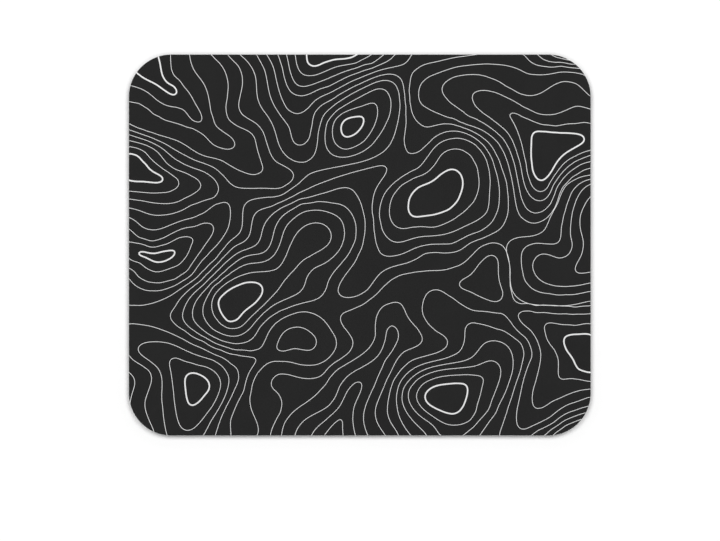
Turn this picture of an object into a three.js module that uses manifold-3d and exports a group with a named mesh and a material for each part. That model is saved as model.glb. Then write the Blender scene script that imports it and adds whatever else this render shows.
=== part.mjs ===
// A cloth-topped mouse pad: three sheets, laminated and then die-cut together to one rounded outline.
// Millimetres, +Z up out of the cloth. The origin is the middle of the underside.
// +X runs along the long side, to the right of the person at the desk, and +Y runs away from them.

import * as THREE from "three";
import { mergeVertices } from "three/addons/utils/BufferGeometryUtils.js";
import Module from "manifold-3d";

// Outline, the same for every sheet because one die cuts them all
const PAD_WIDTH = 240;
const PAD_DEPTH = 198;
const CORNER_RADIUS = 22;
const CORNER_STEPS = 12;

// Sheets, from the desk upwards
const BASE_THICKNESS = 2.2;
const FILM_THICKNESS = 0.12;
const CLOTH_THICKNESS = 0.66;

// The glue line on each side of the film keeps neighbouring sheets from sharing volume
const GLUE_LINE = 0.01;

// The die presses the cloth's upper edge into a small round as it cuts
const CLOTH_EDGE_ROUND = 0.36;
const EDGE_ROUND_STEPS = 4;

const wasm = await Module();
wasm.setup();

// A rounded rectangle about the origin, set in from the pad's outline by the given distance
function padOutline(inset = 0) {
  const halfWidth = PAD_WIDTH / 2 - inset;
  const halfDepth = PAD_DEPTH / 2 - inset;
  const radius = CORNER_RADIUS - inset;
  const outline = new THREE.Shape();
  outline.absarc(halfWidth - radius, halfDepth - radius, radius, 0, Math.PI / 2);
  outline.absarc(radius - halfWidth, halfDepth - radius, radius, Math.PI / 2, Math.PI);
  outline.absarc(radius - halfWidth, radius - halfDepth, radius, Math.PI, 1.5 * Math.PI);
  outline.absarc(halfWidth - radius, radius - halfDepth, radius, 1.5 * Math.PI, 2 * Math.PI);
  outline.closePath();
  return outline;
}

// A flat sheet of the pad's outline with square-cut edges, standing on z = 0
function cutSheet(thickness) {
  return new THREE.ExtrudeGeometry(padOutline(), {
    depth: thickness,
    curveSegments: CORNER_STEPS,
    bevelEnabled: false,
  });
}

// A closed geometry as a solid that can be cut
function solidOf(geometry) {
  const bare = geometry.clone();
  bare.deleteAttribute("normal");
  bare.deleteAttribute("uv");
  const merged = mergeVertices(bare);
  return new wasm.Manifold(
    new wasm.Mesh({
      numProp: 3,
      vertProperties: merged.attributes.position.array,
      triVerts: new Uint32Array(merged.index.array),
    }),
  );
}

// A cut solid as a geometry that can be drawn
function geometryOf(solid) {
  const mesh = solid.getMesh();
  const geometry = new THREE.BufferGeometry();
  geometry.setAttribute("position", new THREE.BufferAttribute(mesh.vertProperties, 3));
  geometry.setIndex(new THREE.BufferAttribute(mesh.triVerts, 1));
  geometry.computeVertexNormals();
  return geometry;
}

// The cloth: a sheet rounded along both edges, with the lower round cut away so that it lies flat on the film
function clothSheet() {
  const round = Math.min(CLOTH_EDGE_ROUND, CLOTH_THICKNESS);
  const rounded = new THREE.ExtrudeGeometry(padOutline(round), {
    depth: CLOTH_THICKNESS,
    curveSegments: CORNER_STEPS,
    bevelEnabled: true,
    bevelThickness: round,
    bevelSize: round,
    bevelSegments: EDGE_ROUND_STEPS,
  });
  rounded.translate(0, 0, -round);
  const below = new THREE.BoxGeometry(2 * PAD_WIDTH, 2 * PAD_DEPTH, 2 * CLOTH_THICKNESS);
  below.translate(0, 0, -CLOTH_THICKNESS);
  return geometryOf(solidOf(rounded).subtract(solidOf(below)));
}

// Finishes
const blackRubber = new THREE.MeshStandardMaterial({ color: 0x161617, roughness: 0.92, metalness: 0 });
const clearGlue = new THREE.MeshStandardMaterial({ color: 0x4a4844, roughness: 0.45, metalness: 0 });
const charcoalCloth = new THREE.MeshStandardMaterial({ color: 0x282828, roughness: 0.88, metalness: 0 });

function sheetMesh(name, geometry, material, underside) {
  const mesh = new THREE.Mesh(geometry, material);
  mesh.name = name;
  mesh.position.z = underside;
  return mesh;
}

// Heights of each sheet's underside above the desk
const filmUnderside = BASE_THICKNESS + GLUE_LINE;
const clothUnderside = filmUnderside + FILM_THICKNESS + GLUE_LINE;

const mousePad = new THREE.Group();
mousePad.add(sheetMesh("rubber_base", cutSheet(BASE_THICKNESS), blackRubber, 0));
mousePad.add(sheetMesh("bond_film", cutSheet(FILM_THICKNESS), clearGlue, filmUnderside));
mousePad.add(sheetMesh("printed_cloth", clothSheet(), charcoalCloth, clothUnderside));

export default mousePad;
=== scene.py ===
# %% [markdown]
# # A printed cloth mouse pad
# The pad is three sheets, glued face to face and cut out by one die: a printed cloth on top, a film of
# hot-melt glue, and a sheet of foam rubber that grips the desk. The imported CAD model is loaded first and
# never changed. It says where each sheet lies, in metres: +X along the long side, +Y away from the user,
# +Z up.

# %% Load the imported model
import math

import bpy
import numpy as np
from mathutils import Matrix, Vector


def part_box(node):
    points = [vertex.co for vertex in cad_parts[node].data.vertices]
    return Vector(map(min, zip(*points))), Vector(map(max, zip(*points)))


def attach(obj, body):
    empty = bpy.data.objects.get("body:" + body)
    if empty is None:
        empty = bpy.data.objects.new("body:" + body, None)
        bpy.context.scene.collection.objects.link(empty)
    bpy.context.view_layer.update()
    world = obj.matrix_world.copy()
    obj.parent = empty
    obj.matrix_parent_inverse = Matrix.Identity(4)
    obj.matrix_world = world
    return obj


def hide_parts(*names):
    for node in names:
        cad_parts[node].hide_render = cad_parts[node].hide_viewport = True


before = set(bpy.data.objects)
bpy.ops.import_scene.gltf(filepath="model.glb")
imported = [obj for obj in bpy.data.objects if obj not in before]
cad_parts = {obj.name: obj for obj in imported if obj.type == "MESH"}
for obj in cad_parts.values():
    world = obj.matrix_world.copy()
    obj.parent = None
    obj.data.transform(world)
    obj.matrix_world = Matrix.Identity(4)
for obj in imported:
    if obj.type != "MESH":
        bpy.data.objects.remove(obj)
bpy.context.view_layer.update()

MM = 0.001


# %% [markdown]
# ## Sizes
# Every height and half width comes from the CAD boxes, so a change there moves the pieces here. Only the
# corner radius has to be repeated, because a box doesn't tell it. It was read off the photograph: the
# corner's round begins about 42 pixels from the corner, at 0.52 mm to the pixel.

# %% Sizes from the frame
film_low, film_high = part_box("bond_film")
base_low, base_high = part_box("rubber_base")
cloth_low, cloth_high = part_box("printed_cloth")
HALF_WIDTH = cloth_high.x
HALF_DEPTH = cloth_high.y
CLOTH_TOP = cloth_high.z
CORNER_RADIUS = 22 * MM
print(f"pad {2 * HALF_WIDTH / MM:.1f} by {2 * HALF_DEPTH / MM:.1f} mm, top at {CLOTH_TOP / MM:.2f} mm")

# %% [markdown]
# ## The die
# One steel-rule die cuts all three sheets, so one function gives the outline of them all. A sheet is then a
# loft: the outline is repeated at several heights, each set in a little more or less, and skinned with
# quads. That is easier to steer than a bevel on a cut-out block, because each ring says where the edge is at
# its height.

# %% Outline and loft
CORNER_STEPS = 40
QUARTER = math.pi / 2
CORNER_SIDES = ((1, 1), (-1, 1), (-1, -1), (1, -1))


def outline_ring(inset, height):
    """Points of the pad's outline at one height, counter-clockwise, set in by a distance."""
    steps = np.linspace(0, QUARTER, CORNER_STEPS + 1)
    corners = []
    for quarter, (side_x, side_y) in enumerate(CORNER_SIDES):
        turn = steps + quarter * QUARTER
        x = side_x * (HALF_WIDTH - CORNER_RADIUS) + (CORNER_RADIUS - inset) * np.cos(turn)
        y = side_y * (HALF_DEPTH - CORNER_RADIUS) + (CORNER_RADIUS - inset) * np.sin(turn)
        corners.append(np.column_stack([x, y, np.full_like(x, height)]))
    return np.vstack(corners)


def placed(name, data):
    """A new object in the scene, at the origin, that holds a mesh, a curve, a lamp or a camera."""
    thing = bpy.data.objects.new(name, data)
    bpy.context.scene.collection.objects.link(thing)
    return thing


def lofted_piece(name, rings):
    """A closed piece through rings of equal length, from the lowest to the highest, with flat ends."""
    count = len(rings[0])
    faces = [list(range(count))[::-1]]
    for level in range(len(rings) - 1):
        low = level * count
        for i in range(count):
            j = (i + 1) % count
            faces.append([low + i, low + j, low + count + j, low + count + i])
    faces.append(list(range((len(rings) - 1) * count, len(rings) * count)))
    mesh = bpy.data.meshes.new(name)
    mesh.from_pydata(np.vstack(rings).tolist(), [], faces)
    return placed(name, mesh)


print("points in the die's outline:", len(outline_ring(0, 0)))

# %% Shading and counting
SHARP_EDGE = math.radians(40)


def shade_round(piece):
    """Smooth shading, with the edges that are really sharp left sharp."""
    mesh = piece.data
    mesh.polygons.foreach_set("use_smooth", [True] * len(mesh.polygons))
    mesh.set_sharp_from_angle(angle=SHARP_EDGE)


def triangle_count(piece):
    """How many triangles a piece's faces make."""
    return sum(len(face.vertices) - 2 for face in piece.data.polygons)


print(f"edges over {math.degrees(SHARP_EDGE):.0f} degrees stay sharp")

# %% [markdown]
# ## Node helpers
# Materials and Geometry Nodes are both trees of nodes, so one small helper serves both: it adds a node, sets
# its options, and fills each input with a value or a link. The others are built on it. They do arithmetic,
# take vectors apart and put them together, and start and end a group with named sockets.

# %% Helpers for node trees


def put(tree, kind, inputs=None, **options):
    """Adds a node, sets its options, and sets or links its inputs by name or number."""
    node = tree.nodes.new(kind)
    for option, value in options.items():
        setattr(node, option, value)
    for socket, value in (inputs or {}).items():
        if isinstance(value, bpy.types.NodeSocket):
            tree.links.new(value, node.inputs[socket])
        else:
            node.inputs[socket].default_value = value
    return node


def calc(tree, operation, *values):
    """The result of one Math node."""
    return put(tree, "ShaderNodeMath", dict(enumerate(values)), operation=operation).outputs[0]


def ramp(tree, value, low, high, start=0.0, end=1.0):
    """A value that climbs smoothly from start to end as another goes from low to high."""
    inputs = {"Value": value, "From Min": low, "From Max": high, "To Min": start, "To Max": end}
    return put(tree, "ShaderNodeMapRange", inputs, interpolation_type="SMOOTHSTEP").outputs["Result"]


def parts_of(tree, vector):
    """The X, Y and Z of a vector."""
    return put(tree, "ShaderNodeSeparateXYZ", {"Vector": vector}).outputs


def vector_of(tree, **parts):
    """A vector from its X, Y and Z, with zero for a part that isn't given."""
    return put(tree, "ShaderNodeCombineXYZ", parts).outputs[0]


print("node helpers ready")

# %% Helpers for node groups


def new_group(name, kind, inputs, outputs):
    """A node group with named sockets: the tree, its inputs by name, and the sockets to end in."""
    tree = bpy.data.node_groups.new(name, kind)
    for title, socket in inputs.items():
        tree.interface.new_socket(title, in_out="INPUT", socket_type="NodeSocket" + socket)
    for title, socket in outputs.items():
        tree.interface.new_socket(title, in_out="OUTPUT", socket_type="NodeSocket" + socket)
    return tree, tree.nodes.new("NodeGroupInput").outputs, tree.nodes.new("NodeGroupOutput").inputs


def close_group(tree, ends, results):
    """Links the results of a group to its named outputs."""
    for title, result in results.items():
        tree.links.new(result, ends[title])
    print(tree.name, "group:", len(tree.nodes), "nodes")


print("group helpers ready")

# %% [markdown]
# ## Knit, as a shader group
# The top is a fine polyester knit. Close up it is columns of small V-shaped stitches, about half a
# millimetre wide, and from arm's length only a soft, even grey. There would be over two hundred thousand
# stitches to model, so they are worked out in the shader from the surface's own X and Y: a triangle wave
# gives each column its two slanting legs, and a sine gives the rows. The cloth and the ink share the group,
# because the ink is printed into the same yarn.

# %% The knit group
LEGS_PER_COLUMN = 2.0
LEG_SLANT = 0.6
STITCH_ROUNDNESS = 0.5
GAP_BOUNDS = (0.55, 0.15)
knit, given, ends = new_group(
    "knit_stitches", "ShaderNodeTree",
    {"Place": "Vector", "Column Pitch": "Float", "Row Pitch": "Float"},
    {"Height": "Float", "Gap": "Float", "Tone": "Float"},
)
across, along, _ = parts_of(knit, given["Place"])
column = calc(knit, "DIVIDE", across, given["Column Pitch"])
sawtooth = calc(knit, "MULTIPLY_ADD", calc(knit, "FRACT", column), 2.0, -1.0)
from_seam = calc(knit, "ABSOLUTE", sawtooth)
row = calc(knit, "MULTIPLY_ADD", from_seam, LEG_SLANT, calc(knit, "DIVIDE", along, given["Row Pitch"]))
row_wave = calc(knit, "ABSOLUTE", calc(knit, "SINE", calc(knit, "MULTIPLY", row, math.pi)))
leg_wave = calc(knit, "MAXIMUM", calc(knit, "SINE", calc(knit, "MULTIPLY", from_seam, math.pi)), 0.0)
stitch = calc(knit, "POWER", calc(knit, "MULTIPLY", row_wave, leg_wave), STITCH_ROUNDNESS)
leg_number = calc(knit, "FLOOR", calc(knit, "MULTIPLY", column, LEGS_PER_COLUMN))
stitch_number = vector_of(knit, X=leg_number, Y=calc(knit, "FLOOR", row))
dice = put(knit, "ShaderNodeTexWhiteNoise", {"Vector": stitch_number}, noise_dimensions="2D")
# Gap marks the low places between the stitches, where the cloth and the ink are painted darker as shade.
gap = ramp(knit, stitch, *GAP_BOUNDS)
close_group(knit, ends, {"Height": stitch, "Gap": gap, "Tone": dice.outputs["Value"]})

# %% [markdown]
# ## Edge distance and mottle, as shader groups
# Two more effects belong to several finishes. The first measures how far a point lies from the die's cut. It
# is the usual distance to a rounded rectangle, from absolute values and a length, and it tells rubbed rims
# and the cut face of the foam from the rest. The second is a slow cloudiness, for the way cloth and rubber
# are never quite one shade.

# %% The edge distance group
edge, given, ends = new_group("edge_distance", "ShaderNodeTree", {"Place": "Vector"}, {"Distance": "Float"})
core = (HALF_WIDTH - CORNER_RADIUS, HALF_DEPTH - CORNER_RADIUS, 0.0)
folded = put(edge, "ShaderNodeVectorMath", {0: given["Place"]}, operation="ABSOLUTE").outputs[0]
past_core = put(edge, "ShaderNodeVectorMath", {0: folded, 1: core}, operation="SUBTRACT").outputs[0]
past_x, past_y, _ = parts_of(edge, past_core)
corner_x = calc(edge, "MAXIMUM", past_x, 0.0)
corner_y = calc(edge, "MAXIMUM", past_y, 0.0)
corner_square = calc(edge, "MULTIPLY_ADD", corner_x, corner_x, calc(edge, "MULTIPLY", corner_y, corner_y))
inside_core = calc(edge, "MINIMUM", calc(edge, "MAXIMUM", past_x, past_y), 0.0)
reach = calc(edge, "ADD", calc(edge, "SQRT", corner_square), inside_core)
close_group(edge, ends, {"Distance": calc(edge, "SUBTRACT", CORNER_RADIUS, reach)})

# %% The mottle group
MOTTLE_DETAIL = 4.0
MOTTLE_ROUGHNESS = 0.6
MOTTLE_BOUNDS = (0.3, 0.7)
mottle, given, ends = new_group(
    "mottle", "ShaderNodeTree", {"Place": "Vector", "Patches Per Metre": "Float"}, {"Cloud": "Float"})
cloud = put(mottle, "ShaderNodeTexNoise", {
    "Vector": given["Place"],
    "Scale": given["Patches Per Metre"],
    "Detail": MOTTLE_DETAIL,
    "Roughness": MOTTLE_ROUGHNESS,
}).outputs["Fac"]
close_group(mottle, ends, {"Cloud": ramp(mottle, cloud, *MOTTLE_BOUNDS)})

# %% [markdown]
# ## Starting and ending a finish
# Each finish begins in the same way: a Principled shader, the object's own coordinates, and those of the
# three groups that it needs, placed with its own values. Values that don't change over the surface are set
# on the shader itself. Each ends in the same way too: a colour, a roughness that follows its clouds, and a
# bump.

# %% Helpers to start a finish


def new_finish(name, **constants):
    """A material with a Principled shader: the material, its tree, its shader, the place on the object."""
    material = bpy.data.materials.new(name)
    material.use_nodes = True
    tree = material.node_tree
    shader = tree.nodes["Principled BSDF"]
    for socket, value in constants.items():
        shader.inputs[socket.replace("_", " ")].default_value = value
    place = put(tree, "ShaderNodeTexCoord").outputs["Object"]
    return material, tree, shader, place


def use_group(tree, group, **inputs):
    """Places a shader group in a material and gives its outputs."""
    named = {socket.replace("_", " "): value for socket, value in inputs.items()}
    return put(tree, "ShaderNodeGroup", named, node_tree=group).outputs


COLUMN_PITCH = 0.50 * MM
ROW_PITCH = 0.42 * MM


def use_knit(tree, place):
    """The knit's outputs at a place, with this cloth's pitches."""
    return use_group(tree, knit, Place=place, Column_Pitch=COLUMN_PITCH, Row_Pitch=ROW_PITCH)


print("knit pitch in mm:", COLUMN_PITCH / MM, "by", ROW_PITCH / MM)

# %% Helpers to mix colours and end a finish


def grey(level, warmth=0.0):
    """A linear grey, a little warmer or cooler."""
    return (level * (1 + warmth), level, level * (1 - warmth), 1.0)


def mixed(tree, share, first, second):
    """A colour between two others."""
    node = put(tree, "ShaderNodeMix", {"Factor": share}, data_type="RGBA")
    for socket, colour in ((node.inputs[6], first), (node.inputs[7], second)):
        if isinstance(colour, bpy.types.NodeSocket):
            tree.links.new(colour, socket)
        else:
            socket.default_value = colour
    return node.outputs[2]


def end_finish(tree, shader, colour, roughness, relief, strength, depth):
    """Links a colour, a roughness and a bump to a finish's shader."""
    tree.links.new(colour, shader.inputs["Base Color"])
    tree.links.new(roughness, shader.inputs["Roughness"])
    bump = put(tree, "ShaderNodeBump", {"Height": relief, "Strength": strength, "Distance": depth})
    tree.links.new(bump.outputs["Normal"], shader.inputs["Normal"])
    print("finish of", len(tree.nodes), "nodes")


print("finish helpers ready")

# %% [markdown]
# ## Charcoal cloth
# The ground of the print measures 40, 40, 40 in the photograph, a very dark and perfectly even grey, so each
# variation here stays small. Between the stitches it is painted darker, as shade in the knit's gaps. The dye
# doesn't soak through, so on the cut edge the yarn turns from charcoal to a dull mid grey lower down, and
# the rim is rubbed a little paler.

# %% Charcoal cloth
YARN = grey(0.0143)
YARN_PALE = grey(0.0180)
# Painted shade for the gaps between the stitches.
YARN_GAP_SHADE = grey(0.0072)
YARN_UNDYED = grey(0.085, 0.02)
YARN_RUBBED = grey(0.034)
STITCH_SHARE = 0.6
CLOUD_SHARE = 0.4
CLOTH_PATCHES = 45.0
CLOTH_ROUGHNESS = (0.86, 0.94)
RUBBED_BAND = (0.7 * MM, 0.05 * MM)
RUBBED_MOST = 0.35
DYE_DEPTH = 0.30 * MM
DYE_FADE = 0.22 * MM
KNIT_BUMP = 0.5
KNIT_DEPTH = 0.06 * MM

cloth_finish, tree, shader, place = new_finish(
    "charcoal_cloth", Roughness=0.9, Specular_IOR_Level=0.12, Sheen_Weight=0.03, Sheen_Roughness=0.5)
stitches = use_knit(tree, place)
clouds = use_group(tree, mottle, Place=place, Patches_Per_Metre=CLOTH_PATCHES)["Cloud"]
rim = use_group(tree, edge, Place=place)["Distance"]
height = parts_of(tree, place)["Z"]
cloudy = calc(tree, "MULTIPLY", clouds, CLOUD_SHARE)
shade = calc(tree, "MULTIPLY_ADD", stitches["Tone"], STITCH_SHARE, cloudy)
rubbed = ramp(tree, rim, *RUBBED_BAND, 0.0, RUBBED_MOST)
undyed = ramp(tree, height, CLOTH_TOP - DYE_DEPTH, CLOTH_TOP - DYE_DEPTH - DYE_FADE)
yarn_with_gap_shade = mixed(tree, shade, YARN, YARN_PALE)
# The gap colour is painted shade between the stitches; the rubbed rim and the undyed cut edge are the yarn's
# own colours.
for share, colour in ((stitches["Gap"], YARN_GAP_SHADE), (rubbed, YARN_RUBBED), (undyed, YARN_UNDYED)):
    yarn_with_gap_shade = mixed(tree, share, yarn_with_gap_shade, colour)
roughness = ramp(tree, clouds, 0.0, 1.0, *CLOTH_ROUGHNESS)
end_finish(tree, shader, yarn_with_gap_shade, roughness, stitches["Height"], KNIT_BUMP, KNIT_DEPTH)

# %% [markdown]
# ## Printed ink
# All lines are printed in one white ink. The fine ones look grey in the photograph only because they are
# narrower than its pixels. The ink lies in the knit, so its gaps are painted into it as darker specks of
# shade, and the bump carries on across.

# %% Ink finish
INK = grey(0.90)
# The colour for thin ink, and for the painted shade in the knit's gaps.
INK_THIN_AND_GAP_SHADE = grey(0.55)
INK_PATCHES = 400.0
INK_ROUGHNESS = (0.8, 0.9)
INK_UNEVEN = 0.10
INK_GAP_SHADE_SHARE = 0.8

ink_finish, tree, shader, place = new_finish("white_ink", Roughness=0.85, Specular_IOR_Level=0.12)
stitches = use_knit(tree, place)
clouds = use_group(tree, mottle, Place=place, Patches_Per_Metre=INK_PATCHES)["Cloud"]
uneven = calc(tree, "MULTIPLY_ADD", stitches["Tone"], INK_UNEVEN, calc(tree, "MULTIPLY", clouds, INK_UNEVEN))
# The knit's gaps darken the ink as painted shade; the rest comes from random unevenness in the ink.
thin_ink_and_gap_shade = calc(tree, "MULTIPLY_ADD", stitches["Gap"], INK_GAP_SHADE_SHARE, uneven)
ink_with_gap_shade = mixed(tree, thin_ink_and_gap_shade, INK, INK_THIN_AND_GAP_SHADE)
roughness = ramp(tree, clouds, 0.0, 1.0, *INK_ROUGHNESS)
end_finish(tree, shader, ink_with_gap_shade, roughness, stitches["Height"], KNIT_BUMP, KNIT_DEPTH)

# %% [markdown]
# ## Hot-melt film
# Only the film's edge shows, as a hair line between cloth and rubber. It is a clear, slightly yellow glue
# with the dark rubber behind it, glossier than its neighbours and a little cloudy.

# %% Film finish
GLUE = grey(0.045, 0.10)
GLUE_CLOUDY = grey(0.085, 0.14)
GLUE_COVERED = grey(0.05, 0.10)
GLUE_EDGE_BAND = (0.4 * MM, 0.9 * MM)
GLUE_PATCHES = 700.0
GLUE_ROUGHNESS = (0.35, 0.6)
GLUE_BUMP = 0.3
GLUE_DEPTH = 0.03 * MM

film_finish, tree, shader, place = new_finish("glue_film", Roughness=0.45, Specular_IOR_Level=0.4)
clouds = use_group(tree, mottle, Place=place, Patches_Per_Metre=GLUE_PATCHES)["Cloud"]
rim = use_group(tree, edge, Place=place)["Distance"]
glue = mixed(tree, clouds, GLUE, GLUE_CLOUDY)
glue = mixed(tree, ramp(tree, rim, *GLUE_EDGE_BAND), glue, GLUE_COVERED)
roughness = ramp(tree, clouds, 0.0, 1.0, *GLUE_ROUGHNESS)
end_finish(tree, shader, glue, roughness, clouds, GLUE_BUMP, GLUE_DEPTH)

# %% [markdown]
# ## Foam rubber
# The base is black sponge rubber. Its underside has a closed, slightly dusty skin, while the die's cut opens
# the cells all along the edge. The edge distance tells the two apart, so one finish serves both: pores on
# the cut face, with their bottoms painted dark as shade and rims in the paler grey of the cut foam, and a
# fine leathery grain on the skin.

# %% Rubber finish
SKIN = grey(0.0075)
SKIN_DUSTY = grey(0.0125, 0.02)
# Painted shade at the bottoms of the open pores.
PORE_SHADE = grey(0.0040)
PORE_RIM = grey(0.0150)
PORE_BOUNDS = (0.15, 0.5)
PORES_PER_METRE = 4200.0
GRAIN_PER_METRE = 2600.0
GRAIN_DETAIL = 3.0
CUT_FACE_BAND = (0.30 * MM, 0.18 * MM)
RUBBER_PATCHES = 60.0
RUBBER_ROUGHNESS = (0.72, 0.92)
RUBBER_BUMP = 0.6
RUBBER_DEPTH = 0.08 * MM

rubber_finish, tree, shader, place = new_finish("black_rubber", Roughness=0.9, Specular_IOR_Level=0.25)
clouds = use_group(tree, mottle, Place=place, Patches_Per_Metre=RUBBER_PATCHES)["Cloud"]
rim = use_group(tree, edge, Place=place)["Distance"]
cut_face = ramp(tree, rim, *CUT_FACE_BAND)
cells = put(tree, "ShaderNodeTexVoronoi", {"Vector": place, "Scale": PORES_PER_METRE}).outputs["Distance"]
open_cell = ramp(tree, cells, *PORE_BOUNDS)
grain_inputs = {"Vector": place, "Scale": GRAIN_PER_METRE, "Detail": GRAIN_DETAIL}
grain = put(tree, "ShaderNodeTexNoise", grain_inputs).outputs["Fac"]
skin = mixed(tree, clouds, SKIN, SKIN_DUSTY)
# The pores' dark middles are painted shade; around them is the paler grey of the cut foam.
cut_foam_with_pore_shade = mixed(tree, open_cell, PORE_SHADE, PORE_RIM)
relief = put(tree, "ShaderNodeMix", {"Factor": cut_face, "A": grain, "B": open_cell}).outputs["Result"]
rubber_with_pore_shade = mixed(tree, cut_face, skin, cut_foam_with_pore_shade)
roughness = ramp(tree, clouds, 0.0, 1.0, *RUBBER_ROUGHNESS)
end_finish(tree, shader, rubber_with_pore_shade, roughness, relief, RUBBER_BUMP, RUBBER_DEPTH)

# %% [markdown]
# ## Cloth top
# The cloth is one flat sheet with a square lower edge, and an upper edge that the die presses into a small
# round. A quarter circle of rings makes that round. One more ring lies just inside it on the flat, so that
# the smooth shading of the rim doesn't bleed across the whole top.

# %% Cloth top
EDGE_ROUND = 0.36 * MM
ROUND_STEPS = 6
FLAT_MARGIN = 0.8 * MM


def rounded_sheet(name, low, top, outset=0.0):
    """A sheet of the die's outline with a rounded upper edge, grown by a distance."""
    rings = [outline_ring(-outset, low)]
    for angle in np.linspace(0, QUARTER, ROUND_STEPS + 1):
        inset = EDGE_ROUND * (1 - math.cos(angle)) - outset
        rings.append(outline_ring(inset, top - EDGE_ROUND * (1 - math.sin(angle))))
    rings.append(outline_ring(EDGE_ROUND + FLAT_MARGIN, top))
    return lofted_piece(name, rings)


cloth = rounded_sheet("cloth_top", cloth_low.z, CLOTH_TOP)
cloth.data.materials.append(cloth_finish)
shade_round(cloth)
print("cloth top:", len(cloth.data.polygons), "faces")

# %% [markdown]
# ## The printed country
# The print is a common motif, contour lines as on a walker's map. Drawing seventy curves one by one would be
# slow, and they could cross. It is easier to make the country that they describe: its hills and hollows are
# set out as spot heights, in millimetres from the pad's middle, a smooth surface is stretched over them, and
# the lines are where that surface passes whole numbers. So they close and nest by themselves. A row gives
# the spots of one height in one part of the country. A few rows at broken heights hold the ground up or down
# where no line runs. The strong lines are marked too: each is the one that passes nearest to the first spot
# of a BOLD row.

# %% The north-west
THIN, BOLD = "thin", "bold"
NORTH_WEST = (
    ("north-west peak", BOLD, 8, [(-96, 77.8), (-116, 89.7), (-113, 87.2), (-110, 85.5), (-106.6, 83.8),
        (-103.4, 81.6), (-100, 79.5), (-97.6, 78.3), (-94.9, 79), (-95.1, 80.9), (-96.5, 82.7),
        (-101.3, 86.2), (-103.4, 92), (-104.5, 97)]),
    ("north-west shoulder", THIN, 7, [(-119.2, 82.8), (-114, 81.4), (-109.4, 78.8), (-105.5, 75.3),
        (-101, 72.7), (-95.8, 71.8), (-91.9, 70.5), (-89.3, 67.5), (-86.7, 64.2), (-83.4, 63.3),
        (-81.8, 65.5), (-83.4, 70.1), (-86.7, 75.9), (-91.9, 82.4), (-96.4, 87.6), (-98, 91.5),
        (-98.4, 98.7)]),
    ("north-west spur", THIN, 6, [(-119.2, 74.4), (-114.6, 73.7), (-109.4, 70.7), (-104.2, 67.1),
        (-98.4, 64.2), (-92.5, 62.5), (-86.7, 61), (-84, 59.2), (-82, 57.9), (-78, 54), (-74, 50.9),
        (-69.5, 49.6), (-67.5, 49.8), (-65.1, 53.2), (-67.2, 56.4), (-71.8, 59.7), (-75.7, 63.6),
        (-77.6, 69.4), (-78.5, 75.9), (-79.6, 80.5), (-82.8, 86.3), (-86.7, 92.2), (-88.4, 98.7)]),
    ("north-west flank", THIN, 5, [(-119.6, 62.7), (-115.3, 60.6), (-110.1, 58.8), (-105, 57.2),
        (-102, 56.4), (-98, 55.2), (-94, 53.8), (-92, 52.6), (-88, 50), (-84, 47.5), (-80, 45.9),
        (-76, 45.2), (-72, 44.1), (-68, 41.7), (-66, 40.5), (-60.7, 38), (-55.5, 36.4), (-51.9, 37.6),
        (-50.2, 40.2), (-51.6, 44.7), (-53.6, 51.2), (-54.9, 56.4), (-57.5, 59), (-63.3, 61.6),
        (-67.9, 64.9), (-69.3, 69.4), (-68.8, 75.9), (-68.3, 82.4), (-69.2, 87.6), (-72.4, 94.1),
        (-77, 98.7)]),
    ("north-west foot", THIN, 4, [(-119.6, 59.8), (-115.3, 58.4), (-110.1, 56.6), (-105, 54.4),
        (-102, 53), (-98, 50.6), (-94, 48.3), (-90, 46.3), (-86, 44.3), (-82, 42.9), (-78, 41.3),
        (-74, 38.9), (-72, 36.9), (-68, 32.5), (-66, 31.1), (-63.3, 29.9), (-55.5, 29.4), (-47.7, 29.4),
        (-40, 29.9), (-37.2, 31.8), (-35.3, 33), (-34.3, 36.3), (-36.6, 39.5), (-40, 41.5),
        (-43.8, 43.4), (-46.4, 47.3), (-49, 55.1), (-52.3, 61.6), (-56.8, 64.9), (-61.4, 68.1),
        (-63.1, 72.7), (-62, 78.5), (-61, 86.3), (-63.3, 93.5), (-68.5, 98.7)]),
)
print("rows:", len(NORTH_WEST))

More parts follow.
